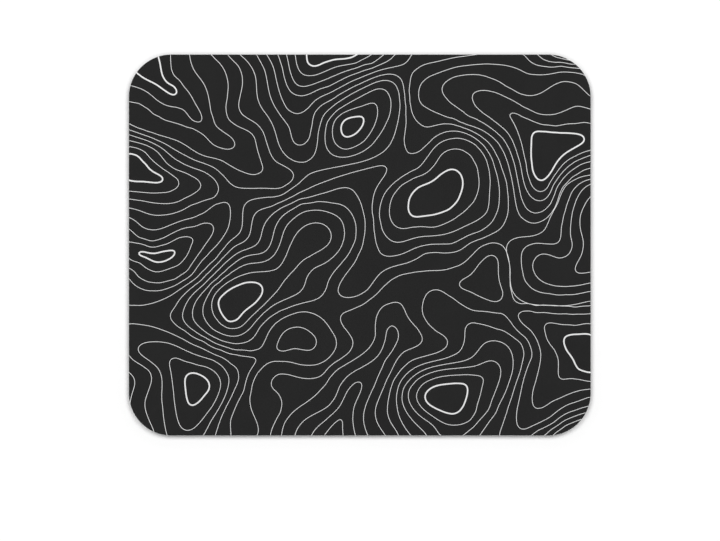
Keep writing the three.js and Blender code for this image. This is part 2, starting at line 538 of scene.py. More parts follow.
# %% The plains
PLAINS = (
    ("high plain", THIN, 3, [(-62.5, 98.9), (-58.1, 94.8), (-54.2, 87.6), (-53.6, 81.1), (-52.3, 74),
        (-47.7, 66.8), (-44.5, 60.3), (-42.8, 54.5), (-40.2, 48.8), (-37.2, 45.4), (-34, 43.4),
        (-30.8, 43), (-26, 44.6), (-24, 46.3), (-22.3, 51.3), (-21.9, 54.5), (-21.7, 58), (-20, 64),
        (-16, 70.3), (-12, 73.8), (-8, 76.3), (-4, 78.7), (0, 80.8), (4, 82.7), (8, 84.5), (12, 85.6),
        (17.4, 84.4), (20.2, 79.8), (21, 73.3), (20.3, 66.8), (19.5, 62.4), (18.2, 57.4), (16, 52.6),
        (12, 48.1), (8, 45.7), (4, 44), (0, 42.9), (-4, 42.1), (-8, 41.3), (-12, 40.5), (-16, 39.7),
        (-20, 38.8), (-24, 37.6), (-28, 35.5), (-30, 33.8), (-34, 30.7), (-37, 28.5), (-47.7, 25),
        (-54.2, 24), (-58.1, 22.7), (-60.3, 20), (-60.8, 16.8), (-60.9, 13.6), (-61, 10), (-62.6, 5.9),
        (-66, 3.2), (-69.2, 0.2), (-70.3, -1.6), (-74, -6.4), (-76, -8.5), (-80, -12.6), (-84, -16.4),
        (-88, -19.4), (-94.5, -23.7), (-101, -27.6), (-107.5, -30.2), (-114, -31.5), (-119.8, -31.8)]),
    ("middle plain", THIN, 2, [(-53.6, 99), (-49.7, 91.5), (-47.7, 82.4), (-45.8, 75.3), (-42.5, 69.4),
        (-39.7, 65.5), (-36.8, 61.6), (-35.5, 56.4), (-34, 53), (-29, 52.4), (-26, 55.8), (-25.5, 58.7),
        (-24.8, 61.9), (-23.6, 68.8), (-20.3, 72.4), (-14, 75.7), (-8, 79.6), (-4, 81.8), (0, 83.6),
        (4, 85.5), (8, 87.1), (12, 88.3), (15.4, 88.9), (19.3, 87.9), (22.3, 84.4), (23.5, 78.5),
        (24.2, 72), (24.1, 65), (23.6, 60), (22.9, 55.1), (24.1, 49.9), (27.1, 47.6), (31.6, 48.9),
        (36, 52.9), (40, 56.7), (44, 58.5), (48, 59.1), (54, 58.4), (58, 56.7), (62, 53.8),
        (66.4, 48.6), (69.8, 40.8), (72, 32.4), (72.4, 23.7), (70.7, 15.9), (67.5, 10.7), (61.7, 6.8),
        (53.9, 3.6), (47.4, 0.5), (40, 0.4), (33.6, -0.3), (27.1, -2.3), (20.6, -5.1), (15.4, -6),
        (11.5, -4.9), (9.6, -1.6), (7.9, 5.5), (7.4, 13.3), (6.7, 22.4), (7.1, 25.3), (8, 28.2),
        (10.8, 33.2), (13.7, 38.2), (14, 39.5), (12.4, 41.3), (10.8, 41.4), (8, 40.9), (4, 39.9),
        (0, 38.8), (-4, 37.7), (-8, 36.4), (-12, 35.2), (-16, 33.7), (-20, 32.3), (-24, 30.7),
        (-28, 28.7), (-34, 25.5), (-40, 22.6), (-45.5, 20), (-50.1, 18.9), (-53.5, 17.2), (-54.6, 15.9),
        (-55.5, 14.3), (-56.5, 9.5), (-57.8, 4.3), (-59, 2.7), (-60.5, 1.5), (-64.9, -0.5), (-68, -3.4),
        (-72, -7.3), (-76, -11.4), (-80, -15.4), (-85.8, -20.9), (-91.2, -25.7), (-95.8, -32.2),
        (-98.6, -37.3), (-97.1, -39.9), (-90.6, -44.4), (-81.5, -49.6), (-72.4, -54.2), (-64.6, -56.5),
        (-58.1, -57.7), (-55, -58.2), (-53.5, -59.3), (-54.4, -61.2), (-56, -63.9), (-58.3, -68.2),
        (-59.1, -70.7), (-60.1, -76), (-65.2, -86), (-67.2, -91.2), (-66.9, -98.6)]),
    ("low plain", THIN, 1, [(60.4, 98.9), (53.9, 98), (46.1, 96.7), (40, 95.2), (34.9, 94.1),
        (29.7, 91.2), (26.4, 87), (25.3, 79.8), (25.8, 74), (26.6, 70), (28.4, 66), (31.6, 62.9),
        (36, 61.3), (40, 62.3), (44, 63.1), (48, 63), (52, 62), (56, 60.4), (60, 58.2), (64, 55.5),
        (67.8, 52), (70.7, 47), (73.8, 39.5), (76.4, 32.4), (77.2, 25), (77.2, 18.5), (75.3, 12),
        (70.7, 6.8), (64.3, 3.6), (57.1, 1), (52.6, -2.3), (47.4, -3.8), (40, -3.8), (34.2, -4.2),
        (29.7, -7.2), (24.5, -9.4), (16.7, -11.4), (11.5, -14), (7.6, -18.5), (3.7, -23.7),
        (-1.5, -26.6), (-6, -27.4), (-9.9, -26.3), (-11.6, -23.7), (-9.9, -19.2), (-5.4, -12.7),
        (-0.8, -4.9), (1.8, 2.9), (2.7, 9.4), (1.8, 17.2), (0.3, 22.4), (-0.8, 24.5), (-2.4, 26.8),
        (-5.5, 29.5), (-8, 29.9), (-12, 29.2), (-16, 27.8), (-20, 26.5), (-24, 25.3), (-28, 24.2),
        (-34, 22.4), (-40.1, 19.8), (-44, 17.3), (-47.6, 13.6), (-49, 11.6), (-50.7, 7.5), (-52.1, 2.5),
        (-53.3, 0.7), (-54.6, -0.6), (-58.7, -2.3), (-63, -4), (-67, -6.8), (-71, -10.2), (-75, -14.3),
        (-79, -18.4), (-82.5, -21.8), (-88, -27), (-91.3, -33), (-92.1, -37.9), (-89.3, -42.5),
        (-81.5, -47.7), (-72.4, -52.2), (-64.6, -54.8), (-56.8, -55.5), (-52.2, -54.2), (-49.4, -50),
        (-48.4, -47.8), (-46, -43.4), (-44, -40.9), (-40, -38), (-36, -36.2), (-32, -34.9),
        (-28, -34.6), (-22.2, -36.6), (-16.4, -41.8), (-12.4, -48.3), (-12.3, -50), (-13.2, -54.9),
        (-16.8, -59.6), (-20, -61.2), (-24, -62.3), (-26.6, -62.5), (-32, -62), (-38, -60.5),
        (-44, -60.3), (-46, -60.8), (-50, -62.9), (-53.2, -66.4), (-54.3, -68.5), (-56.1, -73),
        (-57.2, -78.5), (-56.7, -83.9), (-55.9, -86.6), (-53.6, -92.1), (-52.5, -96.6),
        (-53.1, -98.5)]),
)
print("rows:", len(PLAINS))

# %% The north
NORTH = (
    ("north hollow", THIN, 1, [(-48.6, 99), (-43.8, 87.6), (-40.2, 75.3), (-37.9, 70.7), (-34.6, 68.6),
        (-30.7, 68.6), (-26.2, 71.4), (-16, 78.9), (-12, 81), (-8, 83), (-4, 85.2), (0, 86.8),
        (4, 88.5), (8, 90.1), (12, 91.2), (16.7, 92.2), (21.9, 93.5), (25.1, 96.1), (26.8, 98.7)]),
    ("north hollow", THIN, -1, [(-38.1, 99), (-36.6, 91.5), (-34.6, 85.7), (-32, 82.7), (-28.1, 82.4),
        (-23.6, 83.7), (-16, 86.8), (-12, 88.4), (-8, 90), (-4, 91.4), (0, 92.8), (3, 94), (6.3, 93.9),
        (12.2, 98.7)]),
    ("north hollow", BOLD, -3, [(-24, 92.8), (-27.5, 98.8), (-27, 94.4), (-21.3, 93.3), (-18.9, 94.7),
        (-13.6, 96.3), (-8.8, 96.6), (-5.3, 97.1), (-2.3, 98.5)]),
    ("north hollow", THIN, -2, [(-31.7, 91.1), (-29.9, 89), (-26.5, 88.1), (-20.1, 89.4), (-15.4, 91.4),
        (-11.2, 93), (-6.5, 93.8), (-1.7, 94.5), (4.8, 98.2)]),
    ("north hollow", THIN, 0, [(-42.5, 99), (-40, 91.5), (-38.5, 85), (-35.9, 79.8), (-32, 77.9),
        (-27.5, 78.1), (-21, 81.1), (-16, 82.4), (-12, 84.6), (-8, 86.7), (-4, 88.4), (0, 89.8),
        (4, 91.2), (8, 92.8), (15.4, 96.1), (18, 98.7)]),
    ("north knoll", THIN, 4, [(-18, 53.5), (-18, 57.7), (-16.9, 64), (-14.5, 66.8), (-9.3, 71.4),
        (-2.8, 75.3), (3.7, 78.8), (8.9, 81.1), (12.2, 80.9), (15, 77.9), (16.1, 72), (14.8, 65.5),
        (13.7, 63.5), (12, 60), (10.3, 57.4), (8, 54.4), (4, 50.4), (0, 47.9), (-4, 46.4), (-8.7, 45.6),
        (-11.9, 46), (-16, 48.7), (-17.4, 50.8)]),
    ("north knoll", THIN, 5, [(-14.2, 57.9), (-12, 52), (-10, 50.5), (-7.4, 49.6), (-2, 51.3),
        (0, 52.4), (2.4, 54), (6, 59), (8, 63.2), (9.2, 69.4), (7.6, 73.8), (0.9, 71.9), (-3.4, 70.7),
        (-8.9, 68.5), (-12.7, 65.3), (-14.1, 60.8)]),
    ("north knoll", BOLD, 6, [(-6.6, 56.2), (-9.7, 60), (-9.6, 62.2), (-8.7, 63.9), (-7.4, 65.3),
        (-3.8, 66.4), (1.5, 66.9), (2, 65.3), (-0.5, 59.6), (-4.2, 56.9), (-8.1, 56.4), (-9.1, 57.5)]),
    ("middle hill", THIN, 3, [(40, 52), (44, 54.3), (50, 55.5), (54, 55), (60, 52.3), (64, 47.8),
        (66, 44), (67.3, 39), (67.8, 33), (67.4, 28), (67.2, 22.4), (66.2, 17.2), (61.7, 13.3),
        (53.9, 9.4), (46.1, 6.2), (40, 5), (33.6, 4.5), (27.1, 3.2), (20.6, 1.4), (15.4, 2.9),
        (11.5, 8.1), (10, 14.6), (10.5, 20), (11.2, 22.4), (13.7, 27.9), (16, 30.4), (20, 33.8),
        (24, 36.6), (29.7, 39.5), (34.2, 44.7), (37.5, 49.3)]),
    ("middle hill", THIN, 4, [(40, 43.2), (42.2, 46.7), (46.1, 49.3), (50, 49.9), (55.2, 48),
        (59.1, 43.4), (61.4, 36.9), (61.9, 30.2), (60.4, 25), (56.5, 19.8), (51.3, 15.3), (44.8, 11.4),
        (40, 9.5), (37.5, 9.1), (32.3, 9.7), (27.1, 9.4), (23.9, 8.5), (20, 9), (16.7, 12),
        (15.4, 17.2), (16.3, 23.4), (17.4, 26), (21.4, 31.1), (24, 32.5), (28.4, 35), (34.9, 37.6),
        (38.4, 41)]),
    ("middle hill", BOLD, 5, [(36, 15.4), (25.5, 20.9), (25.8, 17.1), (27.4, 14.8), (29.6, 14.4),
        (42.5, 17), (46.3, 18.4), (50.8, 22.9), (52.1, 26.1), (53.5, 33.1), (52.8, 36), (47.3, 39.3),
        (41.9, 36.7), (39.3, 34.3), (36.7, 32.6), (30.9, 30.3), (28.4, 28), (26.4, 25.1)]),
)
print("rows:", len(NORTH))

# %% The north-east
NORTH_EAST = (
    ("north-east hollow", THIN, 0, [(115.6, 88.9), (111, 89.8), (104.5, 89.8), (96.7, 88.5),
        (91.5, 88.6), (83.7, 90.9), (74.6, 93.5), (65.6, 94.1), (55.2, 93.2), (46.1, 91.2), (40, 89),
        (36.2, 87.6), (32.3, 84.4), (30.7, 79.2), (31.6, 74), (34.9, 71.4), (40, 68.7), (46, 66),
        (52, 63.4), (56, 62), (60, 61), (64, 59.5), (68, 56.9), (72, 53.1), (75, 48), (77.2, 42),
        (79.2, 32.4), (81, 22), (86, 13), (90, 11.4), (94, 12.3), (98, 15.2), (100.5, 18.5), (102, 22),
        (103.3, 26), (105.3, 30.3), (110, 35.3), (116, 38.9), (119.5, 40)]),
    ("north-east hollow", THIN, -1, [(119.7, 77.2), (114.9, 81.8), (109.7, 84.4), (105.8, 85),
        (101.9, 83.7), (96.7, 80.5), (91.5, 78.1), (87.6, 77.6), (82.4, 78.8), (75.9, 82.4),
        (68.1, 86.6), (61.7, 88.5), (55.2, 88.5), (48.7, 87.3), (44.1, 84.4), (42.8, 80.5),
        (44.8, 76.6), (50, 72), (54, 69.4), (60, 66), (64, 63.6), (68, 60.8), (72, 57.5), (76, 52.7),
        (79.5, 44.7), (82.3, 32.6), (83.7, 25), (86.3, 19.2), (90.9, 16.4), (96, 17.9), (99.5, 21.5),
        (101.5, 26.5), (104, 32), (108, 36.9), (112, 39.9), (119.8, 43.1)]),
    ("north-east hollow", THIN, -2, [(119.7, 70.7), (113.6, 72.3), (108.4, 70.5), (103.2, 68.5),
        (97.4, 67.7), (91.5, 68.5), (85, 71.6), (78.5, 75.7), (72, 78.8), (65.6, 80.3), (61, 79.8),
        (58.4, 77.2), (60, 72.2), (64, 68.4), (70, 64.2), (76, 59.3), (78.5, 55.8), (81.8, 47.3),
        (85.2, 32.6), (87.3, 27.6), (90.2, 24.3), (93.5, 23.1), (98, 25.6), (100, 30.5), (103.5, 35.6),
        (108, 40.5), (112, 43.6), (119.8, 47)]),
    ("north-east hollow", THIN, -3, [(119.7, 63.2), (112.3, 62.9), (101.9, 61.5), (94.8, 62.3),
        (87.6, 65.5), (82.4, 68.1), (79.6, 69), (77.9, 67.7), (79.2, 64.9), (82.4, 57.7), (85, 48.5),
        (86.6, 42.1), (88.1, 34.5), (90, 29.8), (93.5, 27.7), (98, 30), (101, 36), (105.2, 41.5),
        (111.6, 45.8), (119.8, 48.8)]),
    ("north-east hollow", BOLD, -4, [(94.3, 33.7), (90, 57.9), (92.4, 59.4), (96.9, 59.1), (102, 58.7),
        (107.1, 58.3), (111.6, 58), (114.8, 57.3), (116.6, 55.6), (116.5, 54), (114.2, 52),
        (109.1, 49.1), (106.5, 47.4), (103.9, 44.8), (100.1, 38.9), (98.5, 36.4), (96.5, 34.4),
        (92, 34.6), (90.4, 37), (89.5, 40.2), (89, 44.7), (89.3, 53.7)]),
    ("north-east corner", THIN, 1, [(85.3, 98.9), (88.3, 95.4), (91.5, 93.6), (96.7, 92.9),
        (104.5, 93.2), (113.6, 91.7)]),
    ("north-east corner", THIN, 3, [(99.8, 98.9), (102.5, 97.4), (106.1, 96.5), (110.7, 95.4)]),
    ("north-east corner", THIN, 2, [(92.6, 98.9), (95, 96.6), (97.8, 95.3), (102, 94.8), (107, 94.6),
        (111.8, 94.1)]),
)
print("rows:", len(NORTH_EAST))

# %% The long shore, and ground without lines
SHORE = (
    ("east plateau", THIN, 0.5, [(82, -8), (82.5, -18), (86, 0), (88, -12), (88, -26), (95, 5),
        (95, -10), (95, -27), (102, 12), (102, -3), (103, -20), (106, -27.5), (107, 22), (110, 5),
        (110, -12), (112, 30), (116, 15), (116, -8), (117, -26), (118, 34)]),
    ("drowned valleys", THIN, -2.25, [(16.5, -47), (15, -53), (-30, -3), (-37, -10), (-44, -18)]),
    ("drowned valleys", THIN, -3.25, [(-3.2, -76), (-6, -82)]),
    ("west saddle", THIN, 2.6, [(-119, -36), (-107, -35)]),
    ("three-cornered dip", THIN, -1, [(51.3, -20.5), (52.6, -18.5), (57.8, -15.3), (61.7, -10.1),
        (65.6, -6.4), (69.4, -5.3), (71.8, -7.5), (72, -12.7), (72.7, -19.2), (74.6, -24.4),
        (73.6, -28.3), (70.1, -29.6), (64.3, -27.6), (57.8, -24.4), (52.6, -22.4)]),
    ("shore line", THIN, 0, [(119.5, -31.9), (112, -32.6), (105, -31.9), (98, -31.5), (91, -31.9),
        (84, -31), (79.3, -27), (78, -22), (77.9, -15), (77.4, -8), (76.2, -4), (74, -0.3), (71, 0.9),
        (68.1, 1.2), (63, -0.7), (60, -3.7), (56, -7.7), (52, -10.6), (46, -12.6), (40, -13.3),
        (28.4, -14), (21.9, -15.3), (16.7, -17.9), (11.5, -22.4), (5, -28.3), (-1.5, -32.2),
        (-8.6, -35.3), (-10.3, -38.6), (-8.6, -42.5), (-4.7, -47.7), (-3.6, -51.9), (-5.8, -56.2),
        (-10, -59.3), (-14, -61.7), (-16.8, -64.2), (-18, -66.2), (-20, -68.1), (-22, -68.8),
        (-24, -69.2), (-28.6, -69.3), (-32, -68.7), (-36, -67.5), (-41.8, -66.9), (-45.8, -71.4),
        (-42.7, -76.7), (-41.6, -78.5), (-40.4, -82.8), (-41.3, -87.5), (-43.9, -92.1), (-46, -96.4),
        (-46.4, -98.5)]),
)
print("rows:", len(SHORE))

# %% The south
SOUTH = (
    ("south valley", THIN, -1, [(-40.5, -98.5), (-40.4, -96.4), (-39, -91.9), (-36, -88), (-32, -84.7),
        (-28, -82), (-24, -78.9), (-20, -74.6), (-16, -69), (-12, -64.9), (-10, -63.6), (-6, -61.2),
        (-2, -58.8), (0, -57.7), (4.7, -53.8), (7.2, -50), (8.3, -47), (8.3, -40.5), (9.6, -35.3),
        (11.5, -32.2), (15.4, -30.5), (18.7, -29.8), (21.9, -31), (25.1, -37.9), (30.3, -43.7),
        (32.7, -48.3), (32.2, -50), (31.3, -51.4), (27, -53.8), (22, -55.9), (19.1, -59.6),
        (17.7, -62.4), (15.2, -67.9), (12.7, -73.5), (10.3, -79), (8.2, -84.6), (8.4, -90.2),
        (11.1, -95.7), (13.2, -98.7)]),
    ("south valley", THIN, -2, [(-33.6, -98.5), (-31.4, -93.9), (-28, -90.4), (-26, -89.1), (-22, -87),
        (-18, -84.8), (-16, -83.6), (-12.5, -79), (-11.3, -76), (-8.9, -71.3), (-7.5, -69.5),
        (-4, -66.6), (0, -64.2), (4, -61.8), (7.8, -59.1), (9.5, -57.3), (12.1, -52.8), (13, -50),
        (13.9, -44.4), (16.1, -41.8), (18.7, -43.1), (19.9, -47), (19.5, -50), (16.8, -55.3),
        (14.9, -58), (11.8, -63.6), (8.7, -70.1), (5.9, -76.3), (3.5, -82.1), (2, -87.7), (2.4, -93.9),
        (4, -98.7)]),
    ("south valley", THIN, -3, [(-24.8, -98.5), (-22, -94.6), (-18, -91.4), (-14, -87.8),
        (-12.5, -86.2), (-9.2, -80.9), (-7.5, -77.5), (-6, -75), (-4, -72.9), (-2.7, -71.5),
        (0.7, -71.2), (1, -74.1), (0.2, -76.6), (-2.1, -81.8), (-3.1, -84.6), (-3.8, -90.8),
        (-3.3, -94.5), (-2.3, -98.7)]),
    ("south valley", THIN, -4, [(-18.1, -98.3), (-16, -95.9), (-14.1, -93.4), (-10.6, -90.1),
        (-9.6, -90.5), (-8.9, -91.5), (-9.2, -95), (-8.8, -98.2)]),
    ("south-east plain", THIN, 0, [(20, -98.7), (19.2, -96.7), (16.1, -92.3), (14.3, -86.8),
        (14.7, -80.9), (15.8, -75.3), (17.4, -70.4), (20, -66.8), (24.2, -62.4), (26, -60.5),
        (32, -58.3), (36, -57.2), (40.1, -56), (43, -54.6), (44.9, -53.1), (45.7, -50), (44.1, -47.6),
        (39.8, -45), (35.5, -41.1), (32.9, -36.6), (32.4, -32.6), (32.9, -29.6), (34.9, -25),
        (37.5, -23.7), (43.5, -24.4), (48.7, -27.6), (53.9, -31.5), (59.1, -34.2), (66.8, -34.6),
        (74, -35.5), (78.5, -39.8), (83.7, -46.3), (88.3, -52.2), (89.5, -58), (88.4, -60.3),
        (87, -63.5), (85.9, -66.6), (85, -69.8), (84.3, -73), (83, -79.4), (81.7, -85.3), (81.4, -90.3),
        (84, -95.6), (85.5, -95.8), (87.3, -95.3), (92, -93.1), (96, -91), (100, -88.5), (108.4, -82.7),
        (118.8, -79.1)]),
    ("south hill", THIN, 1, [(26.3, -98.7), (23.9, -95.7), (22, -92.6), (19.8, -86.5), (19.4, -83.1),
        (19.1, -80), (19.4, -76.9), (20, -74.1), (22.9, -68.5), (25.4, -65.9), (28, -64.1), (32, -62.2),
        (36, -61), (40.1, -60), (44, -59), (48, -57.5), (52, -55.1), (53.2, -53), (54.5, -48.3),
        (55.2, -42.4), (58.4, -40.1), (63, -41.1), (70.7, -43.7), (78.5, -47), (83.7, -50.9),
        (85.3, -56.1), (85.2, -58), (84, -63.9), (83, -67.1), (81.8, -70.3), (80.5, -73.7),
        (78.5, -80.5), (76.4, -87.1), (74.3, -93.5), (72.6, -98.5)]),
    ("south hill", THIN, 2, [(34.6, -98.7), (30.4, -94.2), (28, -91.7), (26, -89.2), (23.9, -86.2),
        (22.6, -83.4), (21.8, -80.6), (22.4, -75.3), (23.9, -72.6), (26, -70.1), (28.8, -67.7),
        (32, -65.6), (36, -63.9), (40.1, -62.9), (44, -62.1), (48, -61.5), (52, -60.8), (54.5, -60.1),
        (58.2, -58.5), (60.4, -56.3), (64.3, -51.5), (69.4, -49.6), (74.6, -50.9), (78.5, -55.4),
        (79.3, -58), (79.6, -62.5), (78.7, -67.8), (76.8, -73.7), (75.5, -76.9), (72, -83.5),
        (68, -90.5), (66, -93.7), (62.6, -98.5)]),
    ("south hill", THIN, 3, [(41.5, -98.7), (38.4, -94), (36, -92), (32.8, -89.9), (30, -87.7),
        (28, -85.4), (25.3, -79.7), (25.2, -77.2), (25.8, -74.7), (29.4, -70.1), (32, -68.4),
        (36, -66.6), (40.1, -65.3), (44, -64.6), (48, -64.1), (52.7, -63.7), (58.2, -63.2),
        (60.5, -62.8), (63.2, -61.6), (67.7, -60.1), (69.5, -60.4), (71.4, -61.4), (73.3, -64.8),
        (73.2, -67.1), (71.8, -72.3), (69.5, -78.5), (67.7, -83.9), (66.6, -86.2), (63.6, -89.6),
        (61.4, -91.6), (56.8, -96.2), (54.3, -98.5)]),
    ("south hill", THIN, 4, [(52, -67.6), (48, -67.8), (44, -68.2), (40.1, -69), (36.5, -70.3),
        (33.4, -71.9), (31.3, -74.1), (29.9, -76.6), (30.2, -81.5), (31.9, -84), (34.4, -86.5),
        (37.2, -88.6), (40.1, -90.6), (43, -92.2), (46.4, -93.3), (50, -93.5), (52.7, -93.2),
        (57.5, -91.2), (60.1, -87.1), (60.8, -83), (62.3, -78.7), (63.3, -73.7), (64.1, -71.4),
        (64.4, -69.8), (62.3, -67.9), (56.4, -67.4)]),
    ("south hill", BOLD, 5, [(42, -72.6), (33.8, -79), (34.1, -77.2), (38.1, -73.7), (45.5, -72.2),
        (49.3, -71.8), (54.6, -72.1), (55.9, -74.2), (55.4, -79.3), (52.7, -85.1), (50.8, -87),
        (48.5, -87.9), (42.3, -86.2), (38.9, -84.6), (36, -82.9), (34.4, -81.1)]),
    ("south-east corner", THIN, 1, [(89.6, -98.5), (92.7, -96), (97.7, -93.9), (100, -92.9),
        (104.5, -89.2), (112.3, -85.9), (118.2, -84)]),
    ("south-east corner", THIN, 3, [(100.6, -98.5), (107.1, -93.7), (114.9, -90.5)]),
    ("south-east corner", THIN, 2, [(96.8, -98.5), (100, -95.3), (101.9, -94.4), (109.7, -89.8),
        (117.2, -87.2)]),
)
print("rows:", len(SOUTH))

# %% The east hollow and the long lake
HOLLOWS = (
    ("east hollow", THIN, -1, [(119.7, -35.5), (113, -35.6), (107.1, -35.5), (95.4, -34.9), (88.9, -34),
        (84.4, -34.2), (82, -36.3), (83.1, -39.2), (88.9, -44.4), (92.2, -49.6), (93.9, -58),
        (93.7, -60.7), (93.2, -63.9), (92.4, -67.5), (91.5, -71.2), (89.7, -77.5), (89.5, -79.8),
        (89.8, -81.9), (93.5, -84.8), (95.5, -84.3), (100, -81.2), (104.5, -79.4), (112.3, -76.2),
        (119.7, -74.9)]),
    ("east hollow", THIN, -2, [(119.7, -40.9), (112.3, -42.1), (105.8, -41.6), (99.3, -40.3),
        (96.7, -40.8), (96.1, -44.4), (97.4, -49.6), (101.3, -54.4), (103.1, -58.6), (103.2, -63.4),
        (104, -69.6), (105.9, -69.9), (110.2, -69.2), (114.8, -69.8), (119.8, -70.9)]),
    ("east hollow", BOLD, -3, [(106, -50.5), (119.8, -46.7), (117.9, -46), (111.8, -46.3),
        (108.6, -46.7), (106.7, -47.6), (107.2, -54.6), (109.4, -57.3), (111.2, -59.9), (112.3, -62.6),
        (113.7, -64.8), (119.8, -66.4)]),
    ("long lake", THIN, 0, [(-36, 18), (-40, 15.2), (-41.7, 13.2), (-43.9, 9.1), (-45.2, 4.1),
        (-47, -0.9), (-48.3, -2.6), (-49.9, -3.9), (-54, -4.9), (-56, -5), (-59.9, -6), (-64, -8.5),
        (-66, -10.2), (-70, -14), (-74, -17.7), (-78.7, -21.8), (-81.5, -24.4), (-85.4, -29.6),
        (-86.9, -35), (-83.4, -42.5), (-77.6, -47), (-71.1, -50), (-64.6, -51.3), (-58.1, -50),
        (-54, -46.3), (-52, -42.7), (-48, -38.7), (-44, -35.9), (-38, -33.1), (-32, -30.9),
        (-26, -29.4), (-19.7, -26.3), (-17.1, -22.4), (-15.1, -16.6), (-10.6, -10.7), (-5.4, -4.2),
        (-2.1, 2.9), (-1.9, 9.4), (-4.1, 15.9), (-8, 20.1), (-14.5, 21.7), (-22.3, 22.7),
        (-30.1, 21.7)]),
    ("long lake", THIN, -1, [(-40.3, 4.5), (-39.6, 6.8), (-37.4, 10.9), (-36, 12.2), (-34.4, 13.7),
        (-28.8, 17.2), (-22.3, 18.1), (-15.8, 16.9), (-9.9, 13.3), (-8.2, 8.1), (-8.6, 2.3),
        (-11.9, -4.2), (-17.1, -8.8), (-23.6, -11.8), (-26.8, -15.3), (-28, -18), (-29, -21.6),
        (-32, -25.2), (-38, -28), (-42, -29.7), (-46, -31.9), (-50, -35.2), (-54, -39.6), (-56, -42.2),
        (-60, -45.7), (-65.2, -47.4), (-71.1, -46.4), (-76.3, -43.8), (-80.8, -37.9), (-81.5, -32.8),
        (-79.5, -27.6), (-76.5, -21.9), (-75, -20.6), (-71, -17.1), (-67, -14.3), (-63, -11.8),
        (-56.9, -9.6), (-54, -9.4), (-48.7, -8.3), (-46.5, -7), (-44.4, -5), (-41.9, -0.5), (-41, 2)]),
    ("long lake", THIN, -2, [(-39, -6.8), (-37, -1.8), (-36, 0.2), (-34, 4.2), (-30.1, 8.8),
        (-25.5, 11.1), (-21, 11.4), (-16.4, 8.8), (-14.7, 4.9), (-15.8, 1), (-19.7, -2.3),
        (-26.2, -6.2), (-32.7, -11.4), (-36, -14.8), (-37.8, -17), (-40, -19.5), (-42, -22.7),
        (-46, -27.2), (-50, -31.4), (-54, -35.1), (-58, -38.9), (-62, -42.6), (-66.3, -43.3),
        (-70.3, -42), (-73.7, -39.1), (-76.3, -34.9), (-76.9, -31.1), (-75.4, -26), (-73.1, -23.4),
        (-71.9, -21.8), (-70, -20.5), (-66, -18), (-64, -16.9), (-60, -15.5), (-54, -14.1),
        (-48.3, -13.7), (-46, -13.3), (-41.7, -11.1), (-40.1, -9.1)]),
    ("long lake", BOLD, -3, [(-60, -34.5), (-73.6, -30), (-73.1, -28), (-68.6, -23.8), (-65.7, -22),
        (-60, -19.6), (-56.9, -19.3), (-53.7, -19.6), (-51.4, -20.9), (-50.9, -25.7), (-54.3, -30.1),
        (-57.1, -32.3), (-61.7, -36.3), (-63.4, -38.6), (-68.6, -40), (-72, -35.4)]),
)
print("rows:", len(HOLLOWS))

